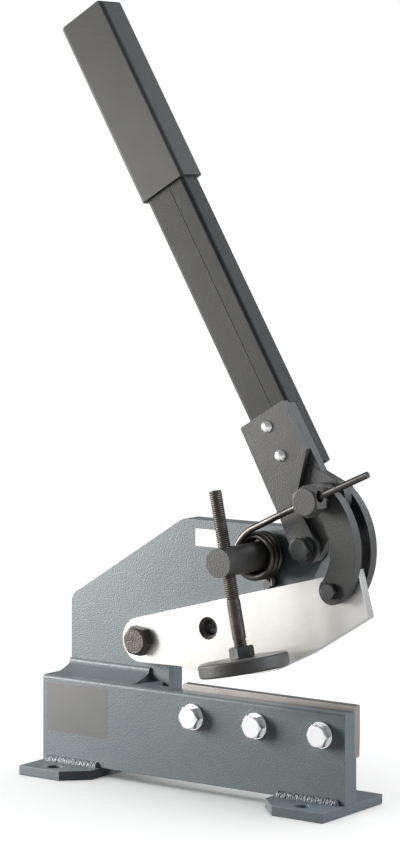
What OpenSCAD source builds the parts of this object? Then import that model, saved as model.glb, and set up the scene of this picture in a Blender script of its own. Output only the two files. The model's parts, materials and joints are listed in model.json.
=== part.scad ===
// Bench lever shear: a long spring-returned handle works a swinging upper blade through
// a pair of curved links. Lengths in mm. The working datum is the lower right front corner
// of the front plate, X along the plate, Y into the depth, Z up. At the end everything is
// moved so that the origin is the centre of the four foot holes at floor level.

/* [Front plate and feet] */
// Length of the front plate
plate_l = 327; // [310:1:360]
// Height of the front plate above the feet
plate_h = 77; // [72:1:82]
// Thickness of the front plate
plate_t = 18; // [16:0.5:20]
// Rounding of the plate's upper front edge
plate_edge_r = 3; // [1:0.5:5]
// Thickness of the feet
foot_t = 8; // [6:0.5:10]
// Depth of the feet from front to back
foot_w = 93; // [88:1:105]
// Length of the right foot
right_foot_l = 72.6; // [60:0.2:80]
// Length of the left foot
left_foot_l = 67; // [58:0.5:80]
// How far the feet stand out in front of the plate
foot_front = 34; // [30:1:40]
// Chamfer on the inner front corner of each foot
foot_chamfer = 21; // [10:1:24]
// Diameter of the foot holes
foot_hole_d = 13; // [10:0.5:15]
// Distance of the foot holes from the plate's ends
foot_hole_inset_x = 30; // [24:1:36]
// Distance of the foot holes from the foot's front and back edges
foot_hole_inset_y = 14; // [12:1:16]
// Leg length of the weld beads on the feet
weld_leg = 5; // [3:0.5:6]
// How far the weld beads stop short of the foot's ends
weld_inset = 4; // [2:0.5:8]

/* [Rear plate and spacer] */
// Thickness of the rear plate
rear_t = 20; // [18:0.5:22]
// Distance of the rear plate's left edge from the front plate's left end
rear_inset = 6; // [2:1:12]
// Height of the rear plate's lower edge and of the spacer above the floor
rear_low_z = 36; // [30:1:45]
// Height of the left edge's upper corner above the floor
rear_shoulder_z = 154; // [145:1:160]
// Height of the rear plate's flat top above the floor
rear_top_z = 233.4; // [230:0.2:238]
// Distance of the flat top's left end from the front plate's right end
rear_top_inset = 193.5; // [185:0.5:205]
// Distance of the nose's right face from the front plate's right end
nose_inset = 209.6; // [205:0.2:213]
// Height of the nose's inner corner above the floor
nose_top_z = 113; // [109:0.5:116]
// Length of the spacer between the plates
spacer_l = 112; // [100:1:114]
// Radius of the rear plate's round end about the lever pivot
rear_end_r = 14.5; // [13:0.5:17]
// Height of the concave weld between the ledge and the rear plate
ledge_weld_h = 8.5; // [6:0.5:11]
// Depth of the concave weld from the rear plate forwards
ledge_weld_w = 31; // [24:1:33]
// Length of the concave weld
ledge_weld_l = 91; // [80:1:100]
// Width of the bead along the concave weld's top
ledge_bead_w = 3; // [2:0.5:4]

/* [Blades] */
// Length of the lower blade
lower_blade_l = 180; // [160:1:195]
// Height of the lower blade
lower_blade_h = 44.2; // [40:0.2:48]
// Thickness of the lower blade
lower_blade_t = 9; // [8:0.5:10]
// How far the lower blade's edge stands above the plate
lower_blade_rise = 5; // [3:0.5:7]
// Depth of the seat cut into the plate for the lower blade
blade_seat = 3.5; // [2:0.5:5]
// Relief at the bottom of the lower blade's back face
blade_relief = 0.8; // [0.2:0.1:1.5]
// Gap between the two blades and beside the swinging blade
blade_gap = 0.3; // [0.2:0.05:0.4]
// Distance between the lower blade's screws
lower_screw_pitch = 67.2; // [60:0.2:70]
// Height of the lower blade's screws above the floor
lower_screw_z = 65.5; // [62:0.5:68]
// Thickness of the upper blade
blade_t = 10; // [9:0.5:12]
// Radius of the upper blade's round heel
heel_r = 20; // [18:0.5:22]
// Distance of the blade pivot from the front plate's right end
blade_pivot_inset = 233.8; // [231:0.2:238]
// Height of the blade pivot above the floor
blade_pivot_z = 121.9; // [120:0.1:124]
// Slope of the upper blade's top edge in degrees
blade_slope = 14.9; // [14:0.1:15.5]
// Length of the upper blade's top edge from the pivot to its end
blade_top_l = 244.2; // [242:0.2:250]
// Height of the upper blade's right end
blade_end_h = 41.7; // [38:0.2:44]
// Diameter of the round-bar hole
bar_hole_d = 13; // [10:0.5:14]
// Diameter of the countersink on the round-bar hole
bar_hole_mouth_d = 20; // [16:0.5:22]
// Distance of the round-bar hole to the right of the blade pivot
bar_hole_x = 74.8; // [68:0.2:82]
// Height of the round-bar hole above the blade pivot
bar_hole_z = 17.5; // [15:0.5:20]

/* [Lever and links] */
// Distance of the lever pivot from the front plate's right end
lever_pivot_inset = 53; // [50:0.5:56]
// Height of the lever pivot above the floor
lever_pivot_z = 218.8; // [216:0.2:222]
// Arm from the lever pivot to the link pivot
lever_arm = 47.9; // [46:0.1:50]
// Angle of that arm from the vertical in degrees
lever_arm_angle = 24; // [20:0.5:28]
// Radius from the blade pivot to the lower link pivot
link_pivot_r = 220.9; // [218:0.1:224]
// Angle of that radius from the horizontal in degrees
link_pivot_angle = 16.74; // [16.2:0.02:17.2]
// Thickness of the links
link_t = 10; // [8:0.5:11]
// Width of the links in the bend
link_w = 25.9; // [22:0.1:28]
// Inner radius of the link's bend
link_bend_r = 43.5; // [41:0.5:46]
// Radius of the link's upper end
link_top_r = 14; // [13:0.5:15]
// Radius of the link's lower end
link_low_r = 12; // [10.5:0.5:13]
// Thickness of the link washers
link_washer_t = 2; // [1.5:0.1:3]
// Shank diameter of the lower link pin
link_pin_d = 10; // [8:0.5:11]
// Width of the slot in the upper blade for that pin
link_slot_w = 13; // [12.9:0.1:14]
// Travel of the pin along that slot
link_slot_l = 13.8; // [13.6:0.1:15]
// Angle of that slot from the horizontal in degrees
link_slot_angle = 27; // [25:0.5:29]

/* [Handle] */
// Lean of the handle from the vertical in degrees
handle_lean = 30.3; // [28:0.1:33]
// Width of the handle tube
tube_w = 46; // [42:0.5:50]
// Depth of the handle tube
tube_d = 24; // [20:0.5:28]
// Wall of the handle tube
tube_wall = 2.5; // [2:0.1:3.2]
// Outer corner radius of the handle tube
tube_r = 4; // [3.5:0.1:6]
// Distance from the lever pivot to the tube's lower end
tube_start = 60.3; // [56:0.1:64]
// Distance from the lever pivot to the top of the grip
handle_reach = 527.3; // [480:0.1:580]
// Length of the grip
grip_l = 184; // [150:1:220]
// Wall of the grip
grip_wall = 3.3; // [2.5:0.1:4]
// Outer corner radius of the grip
grip_r = 3.8; // [3.2:0.1:6]
// Thickness of the grip's closed top
grip_cap_t = 5; // [4:0.5:8]
// Radius of the grip's upper corners
grip_top_r = 5; // [3:0.5:8]
// Thickness of the front bracket
bracket_t = 6; // [5:0.5:7]
// Width of the front bracket over the tube
bracket_w = 54; // [51:0.5:57]
// Distance from the lever pivot to the bracket's top edge
bracket_top = 120; // [117:0.5:125]
// Radius of the lever plate's and the bracket's end about the lever pivot
lever_end_r = 13.5; // [12.5:0.1:14]
// Radius of the lever plate's lobe about the link pivot
lobe_r = 18.5; // [17:0.5:20]
// Radius of the bracket's recess about the link pivot
recess_r = 27; // [25:0.5:28]
// Distance from the lever pivot to the shoulder above the bracket's recess
bracket_shoulder = 73; // [70:0.5:92]
// Distance from the lever pivot to the lower bracket screw
bracket_screw_low = 80; // [76:0.2:84]
// Distance between the bracket screws
bracket_screw_pitch = 28; // [24:0.2:32]
// Distance of the bracket screws from the tube's middle
bracket_screw_side = 4.2; // [0:0.2:6]

/* [Return spring] */
// Wire diameter of the return spring
wire_d = 6; // [5.2:0.1:6.1]
// Mean radius of the coil
coil_r = 18; // [17.4:0.1:19]
// Pitch of the coil
coil_pitch = 6.5; // [6.4:0.05:6.8]
// Distance of the coil's axis from the front plate's right end
coil_inset = 101.2; // [98:0.2:104]
// Height of the coil's axis above the floor
coil_z = 208.6; // [206:0.2:211]
// Length of the spring's short rear leg
rear_leg_l = 4; // [2:0.1:4.2]
// Length of the spring's long leg past the eye
leg_past_eye = 66; // [55:1:75]

/* [Hold-down] */
// Diameter of the hold-down bar
bar_d = 25; // [22:0.5:26]
// Diameter of the bar's journal in the rear plate
bar_journal_d = 20; // [16:0.5:21]
// How far the bar stands out in front of the front plate's face
bar_front = 42; // [38:0.5:48]
// Distance of the screw from the bar's front end
rod_inset = 13; // [11:0.5:16]
// Diameter of the hold-down screw
rod_d = 12; // [10:0.5:13]
// Length of the screw above the bar's axis
rod_above = 61.4; // [50:0.2:75]
// Distance from the bar's axis down to the pad's top
rod_below = 82; // [76:0.5:84]
// Tilt of the hold-down screw in degrees
rod_tilt = 11.6; // [8:0.1:14]
// Diameter of the pad
pad_d = 78; // [70:1:82]
// Thickness of the pad
pad_t = 12; // [10:0.5:14]
// Chamfer of the pad's edges
pad_chamfer = 1.5; // [0.5:0.1:2.5]
// Width across flats of the nut above the pad
lock_nut_af = 19; // [18:0.5:20]

/* [Hardware] */
// Shank diameter of the twelve millimetre fasteners
m12_d = 12; // [11:0.5:12.5]
// Width across flats of their heads and nuts
m12_af = 18; // [17.5:0.5:19.5]
// Height of their heads
m12_head_h = 7.5; // [7:0.1:8]
// Height of their nuts
m12_nut_h = 10; // [9:0.1:10.8]
// Outer diameter of the washers on the lower blade's screws
m12_washer_d = 22.5; // [21:0.5:25]
// Outer diameter of the washers on the lever pivot bolt
pivot_washer_d = 20; // [18.5:0.5:24]
// Thickness of their washers
m12_washer_t = 2.4; // [2:0.1:2.5]
// Shank diameter of the blade pivot bolt
m16_d = 16; // [14:0.5:17]
// Width across flats of the blade pivot bolt
m16_af = 24; // [23:0.5:25]
// Height of the blade pivot bolt's head
m16_head_h = 10; // [9:0.1:10.5]
// Height of the blade pivot bolt's nut
m16_nut_h = 13; // [12:0.1:14]
// Outer diameter of the blade pivot bolt's washer
m16_washer_d = 30; // [28:0.5:31]
// Thickness of the blade pivot bolt's washer
m16_washer_t = 3; // [2.5:0.1:3.5]
// Width across flats of the lower link pin's head and nut
m8_af = 13; // [12.5:0.5:14]
// Height of the lower link pin's head
m8_head_h = 5.3; // [4.5:0.1:5.5]
// Height of the lower link pin's nut
m8_nut_h = 8; // [6:0.1:8.5]
// Thread diameter of the lower link pin's end and of the bar's retaining screw
m8_d = 8; // [7:0.5:8.5]
// Shank diameter of the anchor bolt
anchor_d = 5; // [4:0.5:5]
// Width across flats of the anchor bolt's head
anchor_af = 8; // [7:0.1:8]
// Height of the anchor bolt's head
anchor_head_h = 4; // [3:0.1:5]
// Shank diameter of the bracket screws
m6_d = 6; // [5:0.5:6.5]
// Head diameter of the bracket screws
m6_head_d = 11.5; // [10.5:0.1:12]
// Head height of the bracket screws
m6_head_h = 3.6; // [3:0.1:4]
// Width across flats of the bracket screws' nuts
m6_af = 10; // [9.5:0.5:11]
// Height of the bracket screws' nuts
m6_nut_h = 5; // [4:0.1:5.5]
// Width across flats of the eye pin's hexagon head
eye_head_af = 24; // [22:0.5:25]
// Length of the eye pin's head
eye_head_l = 15.7; // [14:0.1:17]
// Width across flats of the nut behind the eye pin's head
eye_hex_af = 18; // [17:0.5:19]
// Thickness of the nut behind the eye pin's head
eye_hex_t = 7.9; // [7:0.1:8.4]
// Diameter of the cross hole for the spring's leg
eye_hole_d = 10.5; // [9.6:0.1:12]

/* [Hidden] */
// Radial clearance of a pin that turns in its hole
pin_fit = 0.05;
// Axial gap beside a part that turns
side_gap = 0.1;
// Radial clearance of a fixed fastener in its hole
screw_fit = 0.1;
// How far cutters run past the faces that they cut
overrun = 1;
// Radius of the small corner roundings on flat plates
small_r = 3;
// How far bolts stand out of their nuts
bolt_proud = 2.5;
// Clearance of the spring's leg beside the anchor bolt and behind the coil
wire_gap = 0.3;
// Depth of the screw's end in the pad
rod_in_pad = 9;
// Diameter and thickness of the bar's retaining washer
bar_washer_d = 32;
bar_washer_t = 3;
// Depth of the retaining screw in the bar's end
bar_screw_depth = 22;
// Radius of the bend between the coil and the short rear leg
rear_bend_r = 5;
// Turn of the eye pin's head away from a flat side upright
eye_head_turn = 8;
// Angle at which the long leg leaves the coil, and its slope
lead_angle = 150;
leg_slope = 23.7;
// Drop of the long leg forwards past the eye
tip_drop = 2;
// Turns of the coil that are complete
whole_turns = 3;
// Sides of the wire, rings in a turn, rings in the lead and along the leg
wire_sides = 6;
turn_rings = 8;
lead_rings = 5;
leg_rings = 12;
bend_rings = 4;
// Facets of round parts
round_fn = 96;
// Steps of the arcs in outlines
arc_steps = 12;

// The layers from front to back
lower_blade_y = plate_t - blade_seat;
shear_y = lower_blade_y + lower_blade_t;
blade_y = shear_y + blade_gap;
blade_back_y = blade_y + blade_t;
rear_y = blade_back_y + blade_gap;
rear_back_y = rear_y + rear_t;
spacer_t = rear_y - plate_t;
bracket_y = blade_y - bracket_t;
front_washer_y = blade_y - side_gap - link_washer_t;
front_link_y = front_washer_y - link_t;
rear_washer_y = blade_back_y + side_gap;
rear_link_y = rear_washer_y + link_washer_t;
rear_link_back_y = rear_link_y + link_t;
eye_hex_y = front_link_y - side_gap - eye_hex_t;
eye_head_y = eye_hex_y - eye_head_l;
eye_y = eye_head_y + eye_head_l / 2;
rod_y = rod_inset - bar_front;

// The heights
plate_top_z = foot_t + plate_h;
lower_blade_top_z = plate_top_z + lower_blade_rise;
lower_blade_z = lower_blade_top_z - lower_blade_h;

// The pivots in the X-Z plane
blade_axis = [-blade_pivot_inset, blade_pivot_z];
lever_axis = [-lever_pivot_inset, lever_pivot_z];
eye_axis = lever_axis + lever_arm * [sin(lever_arm_angle), cos(lever_arm_angle)];
link_axis = blade_axis + link_pivot_r * [cos(link_pivot_angle), sin(link_pivot_angle)];
coil_axis = [-coil_inset, coil_z];
bar_hole_axis = blade_axis + [bar_hole_x, bar_hole_z];
lower_screw_xs = [for (i = [-1:1]) -lower_blade_l / 2 + i * lower_screw_pitch];

// The handle's own axes, across and along, seen from the lever pivot
across = [cos(handle_lean), sin(handle_lean)];
along = [-sin(handle_lean), cos(handle_lean)];
tube_left_share = -0.0217;
tube_left = tube_w * tube_left_share;
tube_mid = tube_left + tube_w / 2;
screw_line = tube_mid - bracket_screw_side;
tube_right = tube_left + tube_w;
notch_top = bracket_top - small_r;
function on_lever(p, q) = lever_axis + p * across + q * along;

// Frame of the whole part
frame_shift = [plate_l / 2, foot_front - foot_w / 2, 0];

// Unit vector, turned vector and points on an arc
function unit(v) = v / norm(v);
function polar(r, a) = r * [cos(a), sin(a)];
function arc(c, r, a0, a1, n = arc_steps) = [for (i = [0:n]) c + polar(r, a0 + (a1 - a0) * i / n)];
// Points of a rounded corner at b between a and c
function corner(a, b, c, r, n = 6) =
    let (u = unit(a - b), v = unit(c - b), half = acos(u * v) / 2,
         mid = b + unit(u + v) * r / sin(half),
         from = b + u * r / tan(half) - mid, to = b + v * r / tan(half) - mid,
         a0 = atan2(from.y, from.x), sweep = (atan2(to.y, to.x) - a0 + 540) % 360 - 180)
    [for (i = [0:n]) mid + polar(r, a0 + sweep * i / n)];
// Outline with a radius for each corner, a radius of zero keeps it sharp
function rounded(pts, radii) =
    [for (i = [0:len(pts) - 1])
        let (k = len(pts), r = radii[i])
        each r > 0 ? corner(pts[(i + k - 1) % k], pts[i], pts[(i + 1) % k], r) : [pts[i]]];

// A slab with its outline in the X-Z plane and its front face at y
module slab(y, t) translate([0, y + t, 0]) rotate([90, 0, 0]) linear_extrude(t) children();
// A round bar along Y
module pin(at, y, l, d) translate([at.x, y, at.y]) rotate([-90, 0, 0]) cylinder(d = d, h = l, $fn = round_fn);
// A hexagon along Y, af is its width across flats
module hexagon(at, y, l, af)
    translate([at.x, y, at.y]) rotate([-90, 0, 0]) cylinder(d = af / cos(30), h = l, $fn = 6);
// A hole along Y
module hole(at, y, l, d) pin(at, y - overrun, l + 2 * overrun, d);
// A washer along Y
module washer(at, y, t, d, bore) difference() { pin(at, y, t, d); hole(at, y, t, bore); }
// A nut along Y
module nut(at, y, t, af, bore) difference() { hexagon(at, y, t, af); hole(at, y, t, bore); }
// A bar along Y with rounded corners, its outline is given by two sizes
module box_outline(w, d, r)
    polygon(rounded([[0, 0], [w, 0], [w, d], [0, d]], [r, r, r, r]));
// Moves and tilts a part from the lever pivot along the handle
module on_handle(p, q, y)
    translate([lever_axis.x, y, lever_axis.y]) rotate([0, -handle_lean, 0]) translate([p, 0, q]) children();
// Moves and tilts a part from the hold-down bar's axis along its screw, Z up along the screw
module on_rod(z)
    translate([coil_axis.x, rod_y, coil_axis.y]) rotate([0, -rod_tilt, 0]) translate([0, 0, z]) children();

// Front plate with its rounded upper edge, the blade's seat and three screw holes
module front_plate() {
    color("slategray") difference() {
        translate([-plate_l, 0, 0]) rotate([90, 0, 90]) linear_extrude(plate_l)
            polygon(rounded([[0, foot_t], [plate_t, foot_t], [plate_t, plate_top_z], [0, plate_top_z]],
                            [0, 0, 0, plate_edge_r]));
        translate([-lower_blade_l, lower_blade_y, lower_blade_z])
            cube([lower_blade_l + overrun, blade_seat + overrun, lower_blade_h + overrun]);
        for (x = lower_screw_xs) hole([x, lower_screw_z], 0, plate_t, m12_d + 2 * screw_fit);
    }
}

// A foot plate, its outline seen from above, with the chamfer on the side given by inner
module foot(x0, x1, inner, hole_x) {
    y0 = -foot_front;
    y1 = foot_w - foot_front;
    c = foot_chamfer;
    color("slategray") difference() {
        linear_extrude(foot_t) polygon(inner > 0
            ? [[x0, y0], [x1 - c, y0], [x1, y0 + c], [x1, y1], [x0, y1]]
            : [[x0 + c, y0], [x1, y0], [x1, y1], [x0, y1], [x0, y0 + c]]);
        for (y = [y0 + foot_hole_inset_y, y1 - foot_hole_inset_y])
            translate([hole_x, y, -overrun])
                cylinder(d = foot_hole_d, h = foot_t + 2 * overrun, $fn = round_fn);
    }
}
module left_foot() foot(-plate_l, left_foot_l - plate_l, 1, foot_hole_inset_x - plate_l);
module right_foot() foot(-right_foot_l, 0, -1, -foot_hole_inset_x);

// One convex weld bead along X, dir is the side of the plate on which it lies
module bead(x, l, y, dir)
    translate([x, y, foot_t]) rotate([90, 0, 90]) linear_extrude(l)
        polygon([for (p = concat([[0, 0]], arc([0, 0], weld_leg, 0, 90, 6))) [p.x * dir, p.y]]);
module foot_welds() {
    color("dimgray") for (s = [[-plate_l, left_foot_l], [-right_foot_l, right_foot_l]])
        for (side = [[0, -1], [plate_t, 1]])
            bead(s.x + weld_inset, s.y - 2 * weld_inset, side.x, side.y);
}

// Spacer that carries the rear plate behind the front plate
module spacer_block() {
    color("slategray") translate([-plate_l, plate_t, rear_low_z])
        cube([spacer_l, spacer_t, plate_top_z - rear_low_z]);
}

// Rear plate: a slanted left shoulder, a flat top, a round end about the lever pivot and the
// open throat that rises from the nose to the lever pivot
throat_rise_shares = [[0.135, 0.05], [0.36, 0.185], [0.62, 0.37], [0.83, 0.60], [0.955, 0.83]];
module rear_outline() {
    left = rear_inset - plate_l;
    nose = [-nose_inset, nose_top_z];
    neck = lever_axis + rear_end_r * [sin(20), -cos(20)] ;
    run = neck - nose;
    polygon(concat(
        rounded([[left, rear_low_z], [-nose_inset, rear_low_z]], [0, 0]),
        [nose],
        [for (s = throat_rise_shares) nose + [run.x * s.x, run.y * s.y]],
        arc(lever_axis, rear_end_r, -62, 90),
        corner(lever_axis, [-rear_top_inset, rear_top_z], [left, rear_shoulder_z], 5 * small_r),
        corner([-rear_top_inset, rear_top_z], [left, rear_shoulder_z], [left, rear_low_z], 4 * small_r)));
}
module rear_plate() {
    color("lightslategray") difference() {
        slab(rear_y, rear_t) rear_outline();
        hole(blade_axis, rear_y, rear_t, m16_d + 2 * screw_fit);
        hole(lever_axis, rear_y, rear_t, m12_d + 2 * screw_fit);
        hole(coil_axis, rear_y, rear_t, bar_journal_d + 2 * pin_fit);
        hole(anchor_axis, rear_y, rear_t, anchor_d + 2 * screw_fit);
        hole(bar_hole_axis, rear_y, rear_t, bar_hole_d);
    }
}

// Concave weld between the ledge and the rear plate, with a bead along its top
ledge_weld_r = (pow(ledge_weld_w, 2) + pow(ledge_weld_h, 2)) / (2 * ledge_weld_h);
ledge_weld_sweep = asin(ledge_weld_w / ledge_weld_r);
module ledge_weld() {
    start = [rear_y - ledge_weld_w, plate_top_z];
    top = [rear_y, plate_top_z + ledge_weld_h];
    color("slategray") translate([rear_inset - plate_l, 0, 0]) rotate([90, 0, 90])
        linear_extrude(ledge_weld_l) polygon(concat(
            arc(start + [0, ledge_weld_r], ledge_weld_r, -90, ledge_weld_sweep - 90 - 3, 10),
            arc(top, ledge_bead_w, 195, 90, 5),
            [[rear_y, plate_top_z]]));
}

// Lower blade, its cutting edge is the upper back edge
module lower_blade() {
    color("gainsboro") difference() {
        translate([-lower_blade_l, 0, 0]) rotate([90, 0, 90]) linear_extrude(lower_blade_l)
            polygon([[lower_blade_y, lower_blade_z], [shear_y - blade_relief, lower_blade_z],
                     [shear_y, lower_screw_z], [shear_y, lower_blade_top_z],
                     [lower_blade_y, lower_blade_top_z]]);
        for (x = lower_screw_xs)
            hole([x, lower_screw_z], lower_blade_y, lower_blade_t, m12_d + 2 * screw_fit);
    }
}
module lower_blade_screws() {
    color("silver") for (x = lower_screw_xs) {
        hexagon([x, lower_screw_z], -m12_washer_t - m12_head_h, m12_head_h, m12_af);
        pin([x, lower_screw_z], -m12_washer_t, shear_y + m12_washer_t - blade_relief, m12_d);
    }
}
module lower_blade_washers() {
    color("silver") for (x = lower_screw_xs)
        washer([x, lower_screw_z], -m12_washer_t, m12_washer_t, m12_washer_d, m12_d + 2 * screw_fit);
}

// Upper blade: round heel, straight top, a square-cut end and a bowed cutting edge. The
// shares are the edge's points over the blade's length, and their drop below its top edge.
edge_bow_shares = [[0.155, 0.806], [0.203, 0.885], [0.253, 0.949], [0.302, 1.005], [0.352, 1.048],
    [0.403, 1.083], [0.456, 1.108], [0.509, 1.122], [0.562, 1.127]];
edge_tip_shares = [0.733, 0.994];
function on_blade(u, v) = blade_axis + u * polar(1, blade_slope) + v * polar(1, blade_slope + 90);
module blade_outline() {
    top = heel_r;
    full = blade_end_h + heel_r;
    tip = on_blade(blade_top_l, top - blade_end_h);
    polygon(concat(
        arc(blade_axis, heel_r, 90 + blade_slope, 265, 20),
        [for (s = edge_bow_shares) on_blade(blade_top_l * s.x, top - full * s.y)],
        [on_blade(blade_top_l * edge_tip_shares[0], top - full * edge_tip_shares[1])],
        [tip, on_blade(blade_top_l, top)]));
}
module upper_blade() {
    slot_end = link_axis + polar(link_slot_l, link_slot_angle);
    color("silver") difference() {
        slab(blade_y, blade_t) blade_outline();
        hole(blade_axis, blade_y, blade_t, m16_d + 2 * pin_fit);
        hole(bar_hole_axis, blade_y, blade_t, bar_hole_d);
        // countersink of the round-bar hole
        translate([bar_hole_axis.x, blade_y, bar_hole_axis.y]) rotate([-90, 0, 0])
            cylinder(d1 = bar_hole_mouth_d, d2 = bar_hole_d, h = (bar_hole_mouth_d - bar_hole_d) / 2,
                     $fn = round_fn);
        // slot that gives the lower link pin its clearance
        hole(link_axis, blade_y, blade_t, link_slot_w);
        hole(slot_end, blade_y, blade_t, link_slot_w);
        slab(blade_y - overrun, blade_t + 2 * overrun) polygon([
            for (s = [[0, -1], [1, -1], [1, 1], [0, 1]])
                link_axis + polar(link_slot_l * s.x, link_slot_angle)
                    + polar(link_slot_w / 2 * s.y, link_slot_angle + 90)]);
    }
}
module blade_pivot_bolt() {
    y = blade_y - side_gap - m16_head_h;
    color("dimgray") union() {
        hexagon(blade_axis, y, m16_head_h, m16_af);
        pin(blade_axis, y + m16_head_h,
            rear_back_y + m16_washer_t + m16_nut_h + bolt_proud - y - m16_head_h, m16_d);
    }
}
module blade_pivot_nut() {
    color("dimgray") union() {
        washer(blade_axis, rear_back_y, m16_washer_t, m16_washer_d, m16_d + 2 * screw_fit);
        nut(blade_axis, rear_back_y + m16_washer_t, m16_nut_h, m16_af, m16_d + 2 * screw_fit);
    }
}

// Lever pivot bolt with its washer in front of the bracket and its nut behind the rear plate
module lever_pivot_bolt() {
    y = bracket_y - side_gap - m12_washer_t - m12_head_h;
    color("dimgray") union() {
        hexagon(lever_axis, y, m12_head_h, m12_af);
        pin(lever_axis, y + m12_head_h,
            rear_back_y + m12_washer_t + m12_nut_h + bolt_proud - y - m12_head_h, m12_d);
    }
}
module lever_pivot_washer() {
    color("dimgray") washer(lever_axis, bracket_y - side_gap - m12_washer_t, m12_washer_t, pivot_washer_d,
                            m12_d + 2 * screw_fit);
}
module lever_pivot_nut() {
    color("dimgray") union() {
        washer(lever_axis, rear_back_y, m12_washer_t, pivot_washer_d, m12_d + 2 * screw_fit);
        nut(lever_axis, rear_back_y + m12_washer_t, m12_nut_h, m12_af, m12_d + 2 * screw_fit);
    }
}

// Front bracket: over the tube at its top, round about the lever pivot at its lower end, and
// hollowed about the link pivot so that the front link clears it
shoulder_shares = [-0.19, 0.235];
module bracket_outline() {
    left = tube_right - bracket_w + small_r / 3;
    top_left = on_lever(left, bracket_top);
    top_right = on_lever(tube_right, bracket_top);
    polygon(concat(
        corner(top_right, top_left, on_lever(left, 0), small_r / 2),
        [on_lever(bracket_w * shoulder_shares[0], bracket_top * shoulder_shares[1] + small_r)],
        arc(lever_axis, lever_end_r, 206, 405, 16),
        arc(eye_axis, recess_r, 219, 160),
        [on_lever(tube_right, bracket_shoulder)],
        corner(on_lever(tube_right, 0), top_right, top_left, small_r / 2)));
}
module lever_bracket() {
    color("dimgray") difference() {
        slab(bracket_y, bracket_t) bracket_outline();
        hole(lever_axis, bracket_y, bracket_t, m12_d + 2 * pin_fit);
        for (q = bracket_screw_qs) hole(on_lever(screw_line, q), bracket_y, bracket_t, m6_d + 2 * screw_fit);
    }
}
bracket_screw_qs = [bracket_screw_low, bracket_screw_low + bracket_screw_pitch];

// Lever plate: fills the tube's notch, carries the link pivot in a lobe and ends about the
// lever pivot. The lobe runs straight into that end, at this angle
lobe_turn = 360 - lever_arm_angle - asin((lobe_r - lever_end_r) / lever_arm);
module lever_plate_outline() {
    polygon(concat(
        [on_lever(tube_left, notch_top), on_lever(tube_left, tube_start - 2 * small_r),
         on_lever(bracket_w * shoulder_shares[0], bracket_top * shoulder_shares[1] + small_r)],
        arc(lever_axis, lever_end_r, 206, lobe_turn),
        arc(eye_axis, lobe_r, lobe_turn, 435),
        [on_lever(tube_right, lever_arm + m6_d / 2), on_lever(tube_right, notch_top)]));
}
module lever_plate() {
    color("gray") difference() {
        slab(blade_y, blade_t) lever_plate_outline();
        hole(lever_axis, blade_y, blade_t, m12_d + 2 * pin_fit);
        hole(eye_axis, blade_y, blade_t, m12_d + 2 * pin_fit);
        for (q = bracket_screw_qs) hole(on_lever(screw_line, q), blade_y, blade_t, m6_d + 2 * screw_fit);
    }
}

// Handle tube with the notch that lets the lever plate in at its lower end
module handle_tube() {
    color("dimgray") difference() {
        on_handle(tube_left, tube_start, blade_y)
            linear_extrude(handle_reach - grip_cap_t - tube_start) difference() {
                box_outline(tube_w, tube_d, tube_r);
                translate([tube_wall, tube_wall])
                    box_outline(tube_w - 2 * tube_wall, tube_d - 2 * tube_wall, tube_r - tube_wall);
            }
        on_handle(tube_left - overrun, tube_start - overrun, blade_y - overrun)
            cube([tube_w + 2 * overrun, blade_t + overrun, notch_top - tube_start + overrun]);
        for (q = bracket_screw_qs)
            hole(on_lever(screw_line, q), blade_y, tube_d, m6_d + 2 * screw_fit);
    }
}

// Grip: a close-fitting sleeve with a closed flat top and rounded upper corners
grip_fit = 0.1;
grip_side = grip_wall + grip_fit;
module grip() {
    low = handle_reach - grip_l;
    w = tube_w + 2 * grip_side;
    d = tube_d + 2 * grip_side;
    color("darkslategray") difference() {
        intersection() {
            on_handle(tube_left - grip_side, low, blade_y - grip_side) linear_extrude(grip_l)
                box_outline(w, d, grip_r);
            on_handle(tube_left - grip_side, low, blade_y - grip_side + d) rotate([90, 0, 0])
                linear_extrude(d)
                    polygon(rounded([[0, 0], [w, 0], [w, grip_l], [0, grip_l]], [0, 0, grip_top_r, grip_top_r]));
        }
        on_handle(tube_left - grip_fit, low - overrun, blade_y - grip_fit)
            linear_extrude(grip_l - grip_cap_t + overrun)
                box_outline(tube_w + 2 * grip_fit, tube_d + 2 * grip_fit, tube_r);
    }
}

// Screws that hold the bracket, the lever plate and the tube together
dome_share = 0.62;
module bracket_screws() {
    dome_r = m6_head_d * dome_share;
    color("silver") for (q = bracket_screw_qs) {
        at = on_lever(screw_line, q);
        intersection() {
            pin(at, bracket_y - m6_head_h, m6_head_h, m6_head_d);
            translate([at.x, bracket_y - m6_head_h + dome_r, at.y]) sphere(r = dome_r, $fn = round_fn / 2);
        }
        pin(at, bracket_y, bracket_t + tube_d + m6_nut_h + bolt_proud / 2, m6_d);
    }
}
module bracket_nuts() {
    color("silver") for (q = bracket_screw_qs)
        nut(on_lever(screw_line, q), blade_y + tube_d, m6_nut_h, m6_af, m6_d + 2 * screw_fit);
}

// Curved link: a quarter ring between the two pivots with round ends
link_mid = (eye_axis + link_axis) / 2;
link_dir = unit(link_axis - eye_axis);
link_half_l = norm(link_axis - eye_axis) / 2;
link_bend = link_mid + link_half_l * [link_dir.y, -link_dir.x];
link_turn = atan2(-link_dir.y, -link_dir.x) - 90;
module link_outline() {
    out_r = link_bend_r + link_w;
    polygon(concat(
        arc(link_axis, link_low_r, link_turn + 135, link_turn + 315, 14),
        arc(link_bend, out_r, link_turn - 38, link_turn + 40, 18),
        arc(eye_axis, link_top_r, link_turn + 52, link_turn + 225, 14),
        arc(link_bend, link_bend_r, link_turn + 42, link_turn - 44, 16)));
}
module link(y) {
    color("dimgray") difference() {
        slab(y, link_t) link_outline();
        hole(eye_axis, y, link_t, m12_d + 2 * pin_fit);
        hole(link_axis, y, link_t, link_pin_d + 2 * screw_fit);
    }
}
module front_link() link(front_link_y);
module rear_link() link(rear_link_y);
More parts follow.
